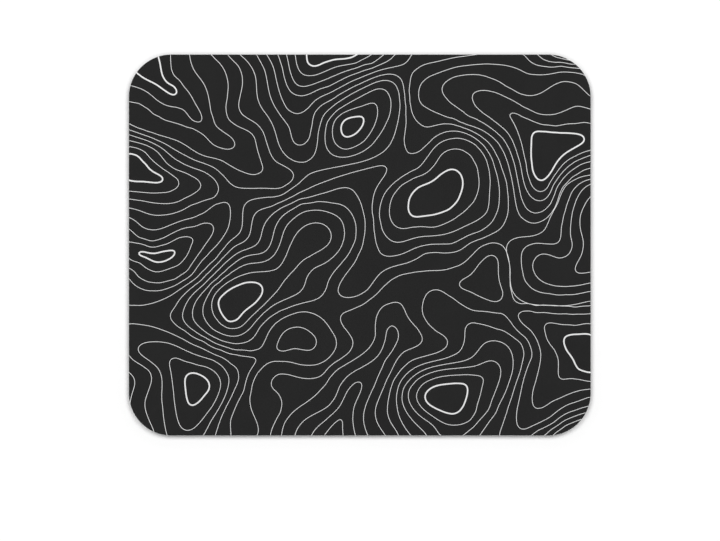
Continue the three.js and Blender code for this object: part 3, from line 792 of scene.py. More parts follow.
# %% The west
WEST = (
    ("south-west hill", THIN, 3, [(-119.5, -40.5), (-112.6, -41.6), (-103.6, -43.8), (-94.5, -47.7),
        (-84.1, -52.9), (-75, -57.4), (-67.2, -62), (-63.3, -65.9), (-62.9, -69.8), (-65.2, -75),
        (-66.9, -79), (-69.1, -83), (-71.1, -87.3), (-75, -98.6)]),
    ("south-west hill", THIN, 4, [(-113, -57.7), (-115, -55.5), (-115.5, -54.2), (-114.5, -52.4),
        (-112.6, -51.3), (-107.5, -50.3), (-99.7, -50.9), (-91.9, -54.2), (-84.1, -57.4),
        (-76.3, -59.6), (-71.1, -63.3), (-68.2, -68.5), (-68.4, -73.5), (-69.7, -78), (-71.5, -82),
        (-73.8, -86), (-77.6, -91.8), (-81.1, -98.6), (-110, -59.8), (-107, -62.2), (-104.9, -63.9),
        (-102.9, -69.1), (-102.9, -76.9), (-102.3, -84.7), (-100.3, -98.6)]),
    ("south-west hill", THIN, 5, [(-99, -62), (-97.7, -59.1), (-95.1, -58.5), (-90.6, -60.6),
        (-84.1, -62.6), (-77.8, -64.4), (-74.6, -66.7), (-72.2, -72.3), (-73.2, -76.6), (-74.6, -80),
        (-76.7, -84), (-81.2, -90), (-86, -95.1), (-89.3, -96.4), (-92.5, -95.1), (-94.5, -91.2),
        (-95.8, -84.7), (-96.7, -76.9), (-97.7, -69.1)]),
    ("south-west hill", BOLD, 6, [(-85, -66.6), (-90.8, -70.7), (-90.4, -68.3), (-87.2, -66.3),
        (-82.1, -67.9), (-79.9, -69.5), (-78.6, -71.2), (-78.1, -73.4), (-78.3, -75.1), (-79.9, -77),
        (-81.3, -78.6), (-84.5, -82.1), (-89, -82.6), (-90.2, -78.2), (-90.5, -74.5)]),
    ("south-west edge", THIN, 3, [(-119.8, -57.4), (-113.9, -62), (-109.4, -65.2), (-108.1, -69.1),
        (-109.4, -74.3), (-111.6, -80.8), (-111.6, -84.7), (-109.4, -91.2), (-106.8, -97)]),
    ("south-west edge", THIN, 2, [(-119, -67), (-117, -73), (-119, -80)]),
    ("bean-shaped rise", THIN, 2, [(-43.5, -53.8), (-42.5, -50.9), (-41.4, -47.8), (-38, -44.2),
        (-34, -42.9), (-30, -43.1), (-26, -45.2), (-22.9, -48.3), (-23.1, -52.2), (-25.5, -54.8),
        (-28.7, -54.6), (-33.9, -53.5), (-40.4, -55.5)]),
    ("west hollow", BOLD, 0, [(-102, 34.5), (-119.6, 47.5), (-115.2, 46.3), (-112.6, 42.9),
        (-110.8, 40.8), (-105.4, 37.2), (-103.1, 36), (-102.4, 33.3), (-103.8, 32.6), (-109.9, 32.7),
        (-113.1, 33.1), (-119.6, 33.6)]),
    ("west hollow", THIN, 1, [(-119.6, 51.1), (-114.5, 49.8), (-109.9, 45.9), (-107.5, 43.6),
        (-105, 41.6), (-102, 39.2), (-100, 38.2), (-95, 34.8), (-94.4, 33.4), (-97.1, 28.6),
        (-103.6, 27.3), (-112.7, 27.3), (-119.8, 27.9)]),
    ("west hollow", THIN, 2, [(-119.4, 54), (-110.8, 51.8), (-107.5, 50.4), (-104.6, 48.1),
        (-101, 43.4), (-100, 42), (-96, 39.2), (-90, 37.3), (-84.5, 34.3), (-83.4, 28.9), (-88, 25.6),
        (-94.5, 22.4), (-99.7, 21.5), (-112.7, 23), (-119.8, 24)]),
    ("west hollow", THIN, 3, [(-119.4, 57.3), (-112.7, 55), (-106.4, 52.2), (-102, 49.7), (-98, 46.4),
        (-94, 43.6), (-90, 41.3), (-86, 39.7), (-80, 37.5), (-75, 33.6), (-73.4, 30), (-75.7, 24.2),
        (-81.5, 23), (-88, 20.8), (-94.5, 17.2), (-102.3, 15.6), (-112.7, 17.2), (-119.8, 19.2)]),
    ("west hill", THIN, 4, [(-119.8, 14.3), (-114, 10.1), (-108.8, 8.1), (-102.3, 8.8), (-95.8, 11.4),
        (-86, 14.2), (-81, 16.5), (-76.9, 19.8), (-75, 21.5), (-70.5, 22.4), (-67.5, 20), (-67.2, 17),
        (-67.9, 11.4), (-70, 5.9), (-72, 2.7), (-76, -1.8), (-78, -3.5), (-82, -7.7), (-84, -10.5),
        (-86, -13.5), (-93.2, -19.2), (-99.7, -22.4), (-107.5, -23.7), (-114, -22.4), (-117.9, -19.8),
        (-119.8, -17.2)]),
    ("west hill", THIN, 5, [(-119.8, 8.5), (-114.6, 3.6), (-108.8, 2), (-102.3, 3.6), (-95.8, 6.8),
        (-86, 9.5), (-82, 11.4), (-76.7, 10.5), (-75.9, 7.3), (-76.7, 5.7), (-80, 0.7), (-82, -2.4),
        (-84, -5.3), (-86, -8.2), (-89.3, -13.3), (-95.8, -17.9), (-103.6, -19.8), (-110.1, -19.2),
        (-115.3, -16.6), (-119.8, -12)]),
    ("west hill", THIN, 6, [(-119.6, 1.7), (-113.4, 0.7), (-109.1, -1.2), (-106.4, -1.2), (-100.3, 0.3),
        (-97.3, 2), (-94.2, 3.8), (-89.9, 4.5), (-86.4, 3.1), (-88, -0.4), (-89.3, -4.3), (-92.3, -8.3),
        (-97.7, -11.5), (-101.2, -12.8), (-107.3, -13.6), (-109.9, -12.4), (-114.3, -8.8),
        (-119.6, -7.3)]),
    ("west hill", BOLD, 7, [(-97.3, -2.6), (-115.4, -4.7), (-114.8, -3.7), (-111.3, -3.4),
        (-108.6, -3.9), (-102.5, -3.2), (-99.4, -2.8), (-95.9, -3.2), (-96.8, -5.8), (-100.8, -8.3),
        (-106, -8.9), (-109.9, -7.3), (-111.7, -6.3), (-113.9, -6)]),
)
print("rows:", len(WEST))

# %% The whole survey
SURVEY = NORTH_WEST + PLAINS + NORTH + NORTH_EAST + SHORE + SOUTH + HOLLOWS + WEST
print("survey rows:", len(SURVEY), "spots:", sum(len(row[3]) for row in SURVEY))

# %% [markdown]
# Tops and bottoms lie between the lines, so they get heights of their own. In the east two shores run so
# close that they touch, which one smooth surface can't do. So the east basin is a second country, surveyed
# by itself and laid over the first one, which is left as a plateau there.

# %% Tops and the east basin
TOPS = (
    (-109, 93, 8.7), (-4, 62, 6.4), (41, 26, 5.6), (100, 50, -4.6), (47, -79, 5.5), (115, -56, -3.5),
    (-63, -30, -3.5), (-24, 3, -2.4), (-85, -74, 6.5), (-33, -48, 2.4), (-112, 41, -0.5), (-104, -6, 7.3),
    (66, -20, -1.4), (-16, 97, -3.3), (-13, -97, -4.4),
)
BASIN = (
    ("basin rim", THIN, 1.5, [(119, 43), (110, 39), (101, 30), (96, 20), (90, 11), (78, 10), (70, 3),
        (71, -12), (72, -26), (79, -35), (92, -38), (106, -38), (119, -37)]),
    ("basin shore", THIN, 0, [(119.5, 35.7), (112, 34), (107, 31), (104.3, 26.2), (102.9, 22), (100.6, 18),
        (98.6, 14), (97, 10), (93.5, 6), (89, 4.5), (84, 4.2), (79.5, 3), (77, 1.2), (76.1, -2), (76.8, -6),
        (77.8, -10), (78, -17), (79, -23.5), (82.5, -28), (88, -30.6), (94, -31.4), (102, -31.7),
        (108, -31.6), (114, -30.5), (119.5, -29.2)]),
    ("upper ledge", THIN, -1, [(119.5, 34.5), (115, 32.4), (111, 28.5), (109, 24), (107, 18), (105.6, 12.5),
        (104.7, 6), (104, 2.3), (101, 0.4), (96, 0.5), (91, 1), (87, -0.4), (84.5, -3.5), (84, -8),
        (84.8, -14), (88, -21), (93, -24.2), (99, -25.1), (107, -25.6), (114, -25.2), (119.5, -24)]),
    ("lower ledge", THIN, -2, [(119.5, 31.6), (115, 28), (112.2, 23), (110.5, 17.5), (109.6, 11), (109.3, 5),
        (110.5, 0), (108.7, -4.9), (103.8, -6.9), (98.5, -5), (95, -4.5), (91.2, -7), (89.6, -11),
        (91.5, -16), (96, -19.7), (101, -21.3), (107, -21.7), (114, -21), (119.5, -19.8)]),
    ("basin floor", THIN, -3, [(119.7, 24.7), (116.5, 20), (114.5, 15), (114.5, 9), (116, 3), (115.8, -2.5),
        (113.2, -8.5), (112, -11.5), (114, -14.8), (119.5, -14.2)]),
)


def spots_of(rows, tops=()):
    """All spot heights of a survey as one array of X, Y and height."""
    on_lines = [(x, y, level) for _, _, level, places in rows for x, y in places]
    return np.array(on_lines + list(tops), float)


print("spot heights:", len(spots_of(SURVEY, TOPS)), "and", len(spots_of(BASIN)), "in the basin")

# %% [markdown]
# The surface is a thin-plate spline: the shape that a thin steel sheet takes when it is pushed up and down
# at the spots. It bends as little as it can, which is what makes the lines flow. A little slack lets it miss
# a spot by a fraction of a millimetre instead of kinking.

# %% Stretch a surface over the spots
SLACK = 6.0
GRID_STEP = 0.75
TINY = 1e-12


def plate_bend(squared):
    """How a thin plate bends at a squared distance from where it is pushed."""
    return 0.5 * squared * np.log(np.maximum(squared, TINY))


def squared_distances(first, second):
    """Squared distances between two lists of points."""
    return ((first[:, None, :] - second[None, :, :]) ** 2).sum(axis=2)


def stretched(spots, low, high):
    """The surface over the spots, on a grid between two corners: the grid's X, its Y and the heights."""
    count = len(spots)
    pushed_at = spots[:, :2]
    tilt = np.column_stack([np.ones(count), pushed_at])
    system = np.zeros((count + 3, count + 3))
    system[:count, :count] = plate_bend(squared_distances(pushed_at, pushed_at)) + SLACK * np.eye(count)
    system[:count, count:] = tilt
    system[count:, :count] = tilt.T
    pushes = np.linalg.solve(system, np.append(spots[:, 2], np.zeros(3)))
    grid_x = np.arange(low[0], high[0] + GRID_STEP, GRID_STEP)
    grid_y = np.arange(low[1], high[1] + GRID_STEP, GRID_STEP)
    heights = np.empty((len(grid_y), len(grid_x)))
    for row, y in enumerate(grid_y):
        places = np.column_stack([grid_x, np.full(len(grid_x), y)])
        bent = plate_bend(squared_distances(places, pushed_at)) @ pushes[:count]
        heights[row] = bent + pushes[count] + places @ pushes[count + 1:]
    return grid_x, grid_y, heights


MAP_CORNERS = ((-123.0, -102.0), (123.0, 102.0))
BASIN_CORNERS = ((73.0, -34.0), (123.0, 42.0))
country = stretched(spots_of(SURVEY, TOPS), *MAP_CORNERS)
basin = stretched(spots_of(BASIN), *BASIN_CORNERS)
for title, (_, _, heights) in (("country", country), ("basin", basin)):
    print(f"{title}: {heights.shape} heights from {heights.min():.1f} to {heights.max():.1f}")

# %% [markdown]
# A line at one height is found triangle by triangle. Each grid square is halved, and where a triangle has
# corners on both sides of the height, the line crosses two of its edges. Crossings that share a triangle are
# linked, and following the links strings them into lines: closed ones, and open ones that run off the pad.

# %% Find and link the crossings


def linked_crossings(above):
    """The grid edges that a line crosses, each with the crossings next to it."""
    square = above[:-1, :-1].astype(int) + above[1:, :-1] + above[:-1, 1:] + above[1:, 1:]
    links = {}
    for row, column in np.argwhere((square > 0) & (square < 4)):
        a, b = (row, column), (row, column + 1)
        c, d = (row + 1, column + 1), (row + 1, column)
        for triangle in ((a, b, c), (a, c, d)):
            sides = [tuple(sorted(pair)) for pair in zip(triangle, triangle[1:] + triangle[:1])]
            cut = [side for side in sides if above[side[0]] != above[side[1]]]
            if cut:
                links.setdefault(cut[0], []).append(cut[1])
                links.setdefault(cut[1], []).append(cut[0])
    return links


print("crossings at height 0:", len(linked_crossings(country[2] > 0)))

# %% Follow the contour lines


def contour_lines(surface, level):
    """The lines at a height, each as its points and whether it closes."""
    grid_x, grid_y, heights = surface
    links = linked_crossings(heights > level)
    ends_first = sorted(side for side in links if len(links[side]) == 1) + sorted(links)
    left = set(links)
    found = []
    for start in ends_first:
        if start not in left:
            continue
        line, side = [], start
        while side is not None:
            left.discard(side)
            (row, column), (next_row, next_column) = side
            share = (level - heights[side[0]]) / (heights[side[1]] - heights[side[0]])
            line.append((grid_x[column] + share * (grid_x[next_column] - grid_x[column]),
                         grid_y[row] + share * (grid_y[next_row] - grid_y[row])))
            side = next((other for other in links[side] if other in left), None)
        found.append((np.array(line), len(links[start]) == 2))
    return found


COUNTRY_LEVELS = range(-4, 9)
BASIN_LEVELS = range(-3, 1)
raw_lines = {level: contour_lines(country, level + TINY) for level in COUNTRY_LEVELS}
basin_lines = [line for level in BASIN_LEVELS for line in contour_lines(basin, level + TINY)]
print("lines by height:", {level: len(lines) for level, lines in raw_lines.items()})
print("lines in the basin:", len(basin_lines))

# %% [markdown]
# Raw crossings are unevenly spaced, so each line is eased by averaging neighbours and then stepped out
# evenly. Scraps of a few millimetres, in the corners that the die cuts off, are dropped.

# %% Even out the lines
LINE_STEP = 0.8
FEWEST_STEPS = 8
EASE_PASSES = 3
SHORTEST_LINE = 7.0


def eased(points, closed):
    """A line with each point drawn towards the middle of its neighbours, and its ends kept."""
    for _ in range(EASE_PASSES):
        before, after = np.roll(points, 1, axis=0), np.roll(points, -1, axis=0)
        soft = (before + 2 * points + after) / 4
        if not closed:
            soft[0], soft[-1] = points[0], points[-1]
        points = soft
    return points


def stepped(points, closed):
    """A line with points at even steps along it, and its length."""
    if closed:
        points = np.vstack([points, points[:1]])
    along = np.append(0, np.cumsum(np.hypot(*np.diff(points, axis=0).T)))
    count = max(FEWEST_STEPS, round(along[-1] / LINE_STEP))
    stations = np.linspace(0, along[-1], count + 1)
    if closed:
        stations = stations[:-1]
    return np.column_stack([np.interp(stations, along, points[:, axis]) for axis in (0, 1)]), along[-1]


def finished(lines):
    """Lines eased and stepped, without the scraps."""
    kept = []
    for points, closed in lines:
        points, length = stepped(eased(points, closed), closed)
        if length > SHORTEST_LINE:
            kept.append((points, closed))
    return kept


drawn = {level: finished(lines) for level, lines in raw_lines.items()}
print("lines kept:", sum(len(lines) for lines in drawn.values()))

# %% Sort the lines by pen
strong = set()
for _, pen, level, places in SURVEY:
    if pen == BOLD:
        gaps = [np.hypot(*(points - places[0]).T).min() for points, _ in drawn[level]]
        strong.add((level, int(np.argmin(gaps))))
pens = {THIN: [], BOLD: []}
for level, lines in drawn.items():
    for number, line in enumerate(lines):
        pens[BOLD if (level, number) in strong else THIN].append(line)
print({pen: len(lines) for pen, lines in pens.items()}, "lines")

# %% [markdown]
# ## Ink, as Geometry Nodes
# Each line becomes a ribbon: Curve to Mesh sweeps a small rectangle along it, as wide as the line and deeper
# than the ink soaks in. The basin's ribbons touch the country's, so a Mesh Boolean fuses the two sets. A
# second one keeps only what lies within the ink skin, which is the cloth's own form grown by a few
# hundredths of a millimetre. So the ribbons bend over the rounded rim and end in the die's cut, and a line's
# width stays one number that can be changed at will.

# %% Helpers for shapes in Geometry Nodes


def boolean(tree, operation, *meshes):
    """Meshes fused, or cut down to what they share, by one Mesh Boolean node."""
    node = put(tree, "GeometryNodeMeshBoolean", operation=operation, solver="MANIFOLD")
    for mesh in meshes:
        tree.links.new(mesh, node.inputs["Mesh 2"])
    return node.outputs["Mesh"]


def swept(tree, path, profile):
    """A profile swept along a level path, with its own Y kept upright and its ends closed."""
    upright = put(tree, "GeometryNodeSetCurveNormal", {"Curve": path}, mode="Z_UP").outputs["Curve"]
    inputs = {"Curve": upright, "Profile Curve": profile, "Fill Caps": True}
    return put(tree, "GeometryNodeCurveToMesh", inputs).outputs["Mesh"]


def shape_of(tree, holder):
    """The geometry of an object that is given to a tree."""
    return put(tree, "GeometryNodeObjectInfo", {"Object": holder}).outputs["Geometry"]


def close_shape(tree, ends, mesh, material):
    """Ends a tree in Realize Instances and Set Material."""
    made = put(tree, "GeometryNodeRealizeInstances", {0: mesh}).outputs[0]
    dressed = put(tree, "GeometryNodeSetMaterial", {"Geometry": made, "Material": material})
    close_group(tree, ends, {"Mesh": dressed.outputs["Geometry"]})


print("shape helpers ready")

# %% The ink tree
ink_tree, given, ends = new_group(
    "ink_lines", "GeometryNodeTree",
    {"Lines": "Object", "Basin Lines": "Object", "Skin": "Object", "Line Width": "Float",
     "Sweep Depth": "Float", "Ink": "Material"},
    {"Mesh": "Geometry"},
)
nib = put(ink_tree, "GeometryNodeCurvePrimitiveQuadrilateral",
          {"Width": given["Line Width"], "Height": given["Sweep Depth"]}).outputs["Curve"]
ribbons = [swept(ink_tree, shape_of(ink_tree, given[title]), nib) for title in ("Lines", "Basin Lines")]
fused = boolean(ink_tree, "UNION", *ribbons)
trimmed = boolean(ink_tree, "INTERSECT", fused, shape_of(ink_tree, given["Skin"]))
close_shape(ink_tree, ends, trimmed, given["Ink"])

# %% Run a tree and keep its mesh


def piece_from_tree(name, tree, **values):
    """A new piece whose mesh is what a Geometry Nodes tree makes from these inputs."""
    piece = placed(name, bpy.data.meshes.new(name + "_start"))
    modifier = piece.modifiers.new("shape", "NODES")
    modifier.node_group = tree
    sockets = {item.name: item.identifier for item in tree.interface.items_tree if item.in_out == "INPUT"}
    for title, value in values.items():
        modifier[sockets[title.replace("_", " ")]] = value
    graph = bpy.context.evaluated_depsgraph_get()
    plain = bpy.data.meshes.new_from_object(piece.evaluated_get(graph))
    piece.modifiers.clear()
    piece.data = plain
    plain.name = name
    shade_round(piece)
    print(name, len(plain.vertices), "points,", triangle_count(piece), "triangles")
    return piece


def line_object(name, lines, height):
    """A curve object that holds one pen's lines, in metres."""
    data = bpy.data.curves.new(name, "CURVE")
    data.dimensions = "3D"
    for points, closed in lines:
        spline = data.splines.new("POLY")
        spline.points.add(len(points) - 1)
        places = np.column_stack([points * MM, np.full(len(points), height), np.ones(len(points))])
        spline.points.foreach_set("co", places.ravel())
        spline.use_cyclic_u = closed
    return placed(name, data)


print("tree runner ready")

# %% [markdown]
# Widths come from the photograph: across a fine line the brightness adds up to about a quarter of a
# millimetre of this ink, and across a strong line, round each top and hollow, to about three quarters.

# %% Ink lines
INK_PROUD = 0.03 * MM
INK_SOAK = 0.42 * MM
SWEEP_DEPTH = 4 * INK_SOAK
THIN_WIDTH = 0.27 * MM
BOLD_WIDTH = 0.74 * MM
ink_skin = rounded_sheet("ink_skin", CLOTH_TOP - INK_SOAK, CLOTH_TOP + INK_PROUD, INK_PROUD)
basin_paths = {THIN: line_object("basin_paths", finished(basin_lines), CLOTH_TOP), BOLD: None}
ink_pieces = []
for pen, width in ((THIN, THIN_WIDTH), (BOLD, BOLD_WIDTH)):
    paths = line_object(pen + "_paths", pens[pen], CLOTH_TOP)
    ink_pieces.append(piece_from_tree(
        "contour_lines_" + pen, ink_tree, Lines=paths, Basin_Lines=basin_paths[pen], Skin=ink_skin,
        Line_Width=width, Sweep_Depth=SWEEP_DEPTH, Ink=ink_finish))
    bpy.data.objects.remove(paths)
bpy.data.objects.remove(basin_paths[THIN])
bpy.data.objects.remove(ink_skin)

# %% [markdown]
# ## Glue film
# The film is cut with the rest, but it springs back a little less than the foam and the cloth, so its edge
# wavers a few hundredths of a millimetre inside the cut. A sum of three waves along the outline gives that.

# %% Glue film
FILM_INSET = 0.06 * MM
FILM_WAVER = 0.03 * MM
WAVES_ROUND = (37, 83, 149)


def wavering(ring, share):
    """A ring whose points waver in and out along the way to the middle."""
    turn = np.linspace(0, 2 * math.pi, len(ring), endpoint=False)
    push = sum(np.sin(waves * turn + waves) for waves in WAVES_ROUND) / len(WAVES_ROUND)
    inward = -ring[:, :2] / np.linalg.norm(ring[:, :2], axis=1)[:, None]
    moved = ring.copy()
    moved[:, :2] += inward * (share * FILM_WAVER * push)[:, None]
    return moved


film_middle = (film_low.z + film_high.z) / 2
film_rings = []
for share, level in ((1.0, film_low.z), (-1.0, film_middle), (1.0, film_high.z)):
    film_rings.append(wavering(outline_ring(FILM_INSET, level), share))
film = lofted_piece("glue_film", film_rings)
film.data.materials.append(film_finish)
shade_round(film)
print("film:", len(film.data.polygons), "faces")

# %% [markdown]
# ## Ribbed rubber base, as Geometry Nodes
# Underneath, the rubber is embossed with wavy ribs by a roller, so that it grips, and the pattern runs
# straight through the cut. The tree works in that order: one swept rib is repeated across a slab that is
# larger than the pad, slab and ribs are fused, and the die cuts them to shape. The die's wall is slightly
# hollow, as foam pulls in between its skins when it springs back from the blade.

# %% One wavy rib
RIB_SIDES = 12
rib_tree, given, ends = new_group(
    "ribbed_base", "GeometryNodeTree",
    {"Die": "Object", "Rib Pitch": "Float", "Rib Width": "Float", "Rib Height": "Float", "Swing": "Float",
     "Swing Length": "Float", "Path Step": "Float", "Slab Size": "Vector", "Slab Middle": "Vector",
     "Rib Count": "Int", "Rubber": "Material"},
    {"Mesh": "Geometry"},
)
half_long = calc(rib_tree, "MULTIPLY", parts_of(rib_tree, given["Slab Size"])["X"], 0.5)
rib_start = vector_of(rib_tree, X=calc(rib_tree, "MULTIPLY", half_long, -1.0))
rib_end = vector_of(rib_tree, X=half_long)
straight = put(rib_tree, "GeometryNodeCurvePrimitiveLine", {"Start": rib_start, "End": rib_end}).outputs[0]
dense = put(rib_tree, "GeometryNodeResampleCurve", {"Curve": straight, "Length": given["Path Step"]},
            mode="LENGTH").outputs[0]
rib_x = parts_of(rib_tree, put(rib_tree, "GeometryNodeInputPosition").outputs[0])["X"]
turns = calc(rib_tree, "DIVIDE", rib_x, given["Swing Length"])
wave = calc(rib_tree, "SINE", calc(rib_tree, "MULTIPLY", turns, 2 * math.pi))
sideways = vector_of(rib_tree, Y=calc(rib_tree, "MULTIPLY", wave, given["Swing"]))
wavy = put(rib_tree, "GeometryNodeSetPosition", {"Geometry": dense, "Offset": sideways}).outputs[0]
unit = put(rib_tree, "GeometryNodeCurvePrimitiveCircle", {"Resolution": RIB_SIDES, "Radius": 1.0}).outputs[0]
half_width = calc(rib_tree, "MULTIPLY", given["Rib Width"], 0.5)
oval_size = vector_of(rib_tree, X=half_width, Y=given["Rib Height"], Z=1.0)
oval = put(rib_tree, "GeometryNodeTransform", {"Geometry": unit, "Scale": oval_size}).outputs[0]
rib = swept(rib_tree, wavy, oval)
print("rib tree so far:", len(rib_tree.nodes), "nodes")

# %% Repeat the rib, fuse the ribs to the slab and cut the outline
rib_steps = calc(rib_tree, "SUBTRACT", given["Rib Count"], 1.0)
first_y = calc(rib_tree, "MULTIPLY", calc(rib_tree, "MULTIPLY", rib_steps, given["Rib Pitch"]), -0.5)
first_rib = vector_of(rib_tree, Y=first_y, Z=given["Rib Height"])
next_rib = vector_of(rib_tree, Y=given["Rib Pitch"])
rows = put(rib_tree, "GeometryNodeMeshLine", {
    "Count": given["Rib Count"],
    "Start Location": first_rib,
    "Offset": next_rib,
}).outputs[0]
repeated = put(rib_tree, "GeometryNodeInstanceOnPoints", {"Points": rows, "Instance": rib}).outputs[0]
ribs = put(rib_tree, "GeometryNodeRealizeInstances", {0: repeated}).outputs[0]
block = put(rib_tree, "GeometryNodeMeshCube", {"Size": given["Slab Size"]}).outputs["Mesh"]
slab_inputs = {"Geometry": block, "Translation": given["Slab Middle"]}
slab = put(rib_tree, "GeometryNodeTransform", slab_inputs).outputs[0]
fused = boolean(rib_tree, "UNION", slab, ribs)
cut_out = boolean(rib_tree, "INTERSECT", fused, shape_of(rib_tree, given["Die"]))
close_shape(rib_tree, ends, cut_out, given["Rubber"])

# %% The die's hollow wall
WALL_HOLLOW = 0.10 * MM
WALL_STEPS = 6
DIE_OVERSHOOT = 1.0 * MM
die_rings = [outline_ring(0, base_low.z - DIE_OVERSHOOT)]
for share in np.linspace(0, 1, WALL_STEPS + 1):
    hollow = WALL_HOLLOW * math.sin(math.pi * share)
    die_rings.append(outline_ring(hollow, base_low.z + share * (base_high.z - base_low.z)))
die_rings.append(outline_ring(0, base_high.z + DIE_OVERSHOOT))
die = lofted_piece("die", die_rings)
print("die:", len(die.data.polygons), "faces")

# %% Cut the base
RIB_PITCH = 3.2 * MM
RIB_WIDTH = 2.3 * MM
RIB_HEIGHT = 0.34 * MM
RIB_SWING = 0.9 * MM
RIB_SWING_LENGTH = 12 * MM
RIB_STEP = 1.4 * MM
OVERSIZE = 4 * MM
slab_low = base_low.z + RIB_HEIGHT
rib_count = math.ceil(2 * (HALF_DEPTH + OVERSIZE) / RIB_PITCH)
slab_size = (2 * (HALF_WIDTH + OVERSIZE), 2 * (HALF_DEPTH + 2 * OVERSIZE), base_high.z - slab_low)
base = piece_from_tree(
    "foam_rubber_base", rib_tree, Die=die, Rib_Pitch=RIB_PITCH, Rib_Width=RIB_WIDTH, Rib_Height=RIB_HEIGHT,
    Swing=RIB_SWING, Swing_Length=RIB_SWING_LENGTH, Path_Step=RIB_STEP, Slab_Size=slab_size,
    Slab_Middle=(0.0, 0.0, (slab_low + base_high.z) / 2), Rib_Count=rib_count, Rubber=rubber_finish)
bpy.data.objects.remove(die)
print(rib_count, "ribs")

# %% [markdown]
# ## What stands for what
# The pad has no moving part, so every piece rides on the one body. The cloth, the film and the base each
# stand for a CAD sheet.

# %% Tie the pieces to the frame
for piece, slot in ((cloth, "charcoal_cloth"), (ink_pieces[0], "charcoal_cloth"),
                    (ink_pieces[1], "charcoal_cloth"), (film, "glue_film"), (base, "black_rubber")):
    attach(piece, "root")
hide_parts("printed_cloth")
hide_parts("bond_film")
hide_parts("rubber_base")

# %% [markdown]
# ## Studio
# The photograph is a plain catalogue view from straight above, on white. The pad's shadow is soft, reaches
# about two millimetres past every side, and is strongest along the near edge. The sheet is 3 mm thick, so a
# shadow that falls 1.6 mm to the side comes from a light whose rays run about half a step sideways for each
# step down. That is how a copying stand is lit: a soft box over each corner, here with the far two brighter,
# and a faint even sky.
# Together they light a white card to just about white. The floor is such a card. Close to the pad it has
# nothing but that light, so the shadow keeps its depth. Further out the light thins, and a little emission
# that only the camera and reflections see keeps it white.

# %% White paper
PAPER = grey(0.96)
NEAR_LIFT = 0.06
NEAR_LIFT_REACH = (3 * MM, 15 * MM)
FAR_LIFT = 0.80
FAR_LIFT_REACH = (0.2, 2.0)


def seen_directly(tree):
    """One for rays from the camera, and for those that gloss and glass send on, else zero."""
    rays = put(tree, "ShaderNodeLightPath").outputs
    seen = calc(tree, "MAXIMUM", rays["Is Camera Ray"], rays["Is Glossy Ray"])
    return calc(tree, "MAXIMUM", seen, rays["Is Transmission Ray"])


paper = bpy.data.materials.new("white_paper")
paper.use_nodes = True
tree = paper.node_tree
tree.nodes.remove(tree.nodes["Principled BSDF"])
place = put(tree, "ShaderNodeTexCoord").outputs["Object"]
away = calc(tree, "MULTIPLY", use_group(tree, edge, Place=place)["Distance"], -1.0)
near_lift = ramp(tree, away, *NEAR_LIFT_REACH, 0.0, NEAR_LIFT)
far_lift = ramp(tree, away, *FAR_LIFT_REACH, 0.0, FAR_LIFT)
lift = calc(tree, "MULTIPLY", seen_directly(tree), calc(tree, "ADD", near_lift, far_lift))
card = put(tree, "ShaderNodeBsdfDiffuse", {"Color": PAPER}).outputs[0]
glow = put(tree, "ShaderNodeEmission", {"Strength": lift}).outputs[0]
both = put(tree, "ShaderNodeAddShader", {0: card, 1: glow}).outputs[0]
tree.links.new(both, tree.nodes["Material Output"].inputs["Surface"])
print("paper:", len(tree.nodes), "nodes")

# %% Floor and sky
FLOOR_SIZE = 8.0
FLOOR_DROP = 0.02 * MM
SKY = 0.04

half = FLOOR_SIZE / 2
floor_corners = [(side_x * half, side_y * half, -FLOOR_DROP) for side_x, side_y in CORNER_SIDES]
floor_mesh = bpy.data.meshes.new("floor")
floor_mesh.from_pydata(floor_corners, [], [(0, 1, 2, 3)])
floor_mesh.materials.append(paper)
floor = placed("floor", floor_mesh)

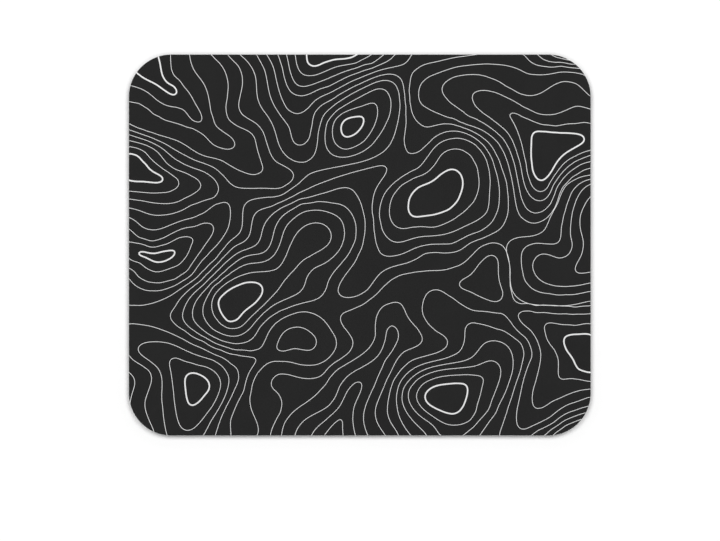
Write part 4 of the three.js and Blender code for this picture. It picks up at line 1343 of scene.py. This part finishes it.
sky = bpy.data.worlds.new("sky")
sky.use_nodes = True
bpy.context.scene.world = sky
tree = sky.node_tree
background = tree.nodes["Background"].inputs
background["Color"].default_value = grey(1.0)
sky_strength = calc(tree, "MULTIPLY_ADD", seen_directly(tree), 1.0 - SKY, SKY)
tree.links.new(sky_strength, background["Strength"])
print("floor", FLOOR_SIZE, "m, sky", SKY)

# %% Soft boxes
BOX_HEIGHT = 2.5
BOX_SIZE = 1.8
SIDEWAYS = 0.55
FAR_AWAY = 0.58
NEAR_AWAY = 0.42
FAR_POWER = 55.5
NEAR_POWER = 22.3

for title, run_x, run_y, power in (
    ("far_left", -SIDEWAYS, FAR_AWAY, FAR_POWER),
    ("far_right", SIDEWAYS, FAR_AWAY, FAR_POWER),
    ("near_left", -SIDEWAYS, -NEAR_AWAY, NEAR_POWER),
    ("near_right", SIDEWAYS, -NEAR_AWAY, NEAR_POWER),
):
    lamp = bpy.data.lights.new("soft_box_" + title, "AREA")
    lamp.size = BOX_SIZE
    lamp.energy = power
    box = placed("soft_box_" + title, lamp)
    box.location = (run_x * BOX_HEIGHT, run_y * BOX_HEIGHT, BOX_HEIGHT)
    box.visible_camera = False
print("soft boxes", BOX_SIZE, "m wide,", BOX_HEIGHT, "m up")

# %% [markdown]
# ## Camera
# The camera looks straight down through a long lens, so that the sides stay hidden as in the photograph. In
# the 720 by 541 frame the pad is 461.9 pixels wide and its middle is 25.5 pixels above the picture's middle,
# so the camera stands a little towards the user and needs no lens shift.

# %% Camera
FRAME_WIDTH = 720
PAD_PIXELS = 461.9
PAD_ABOVE_MIDDLE = 25.5
PAD_LEFT_OF_MIDDLE = 0.2
LENS = 135.0
SENSOR = 36.0

pixel = 2 * HALF_WIDTH / PAD_PIXELS
distance = FRAME_WIDTH * pixel * LENS / SENSOR
view = bpy.data.cameras.new("camera")
view.sensor_fit = "HORIZONTAL"
view.sensor_width = SENSOR
view.lens = LENS
camera = placed("camera", view)
camera.location = (PAD_LEFT_OF_MIDDLE * pixel, -PAD_ABOVE_MIDDLE * pixel, CLOTH_TOP + distance)
bpy.context.scene.camera = camera
bpy.context.scene.view_settings.view_transform = "Standard"
print(f"camera {distance:.3f} m above the cloth, {pixel / MM:.4f} mm to the pixel")
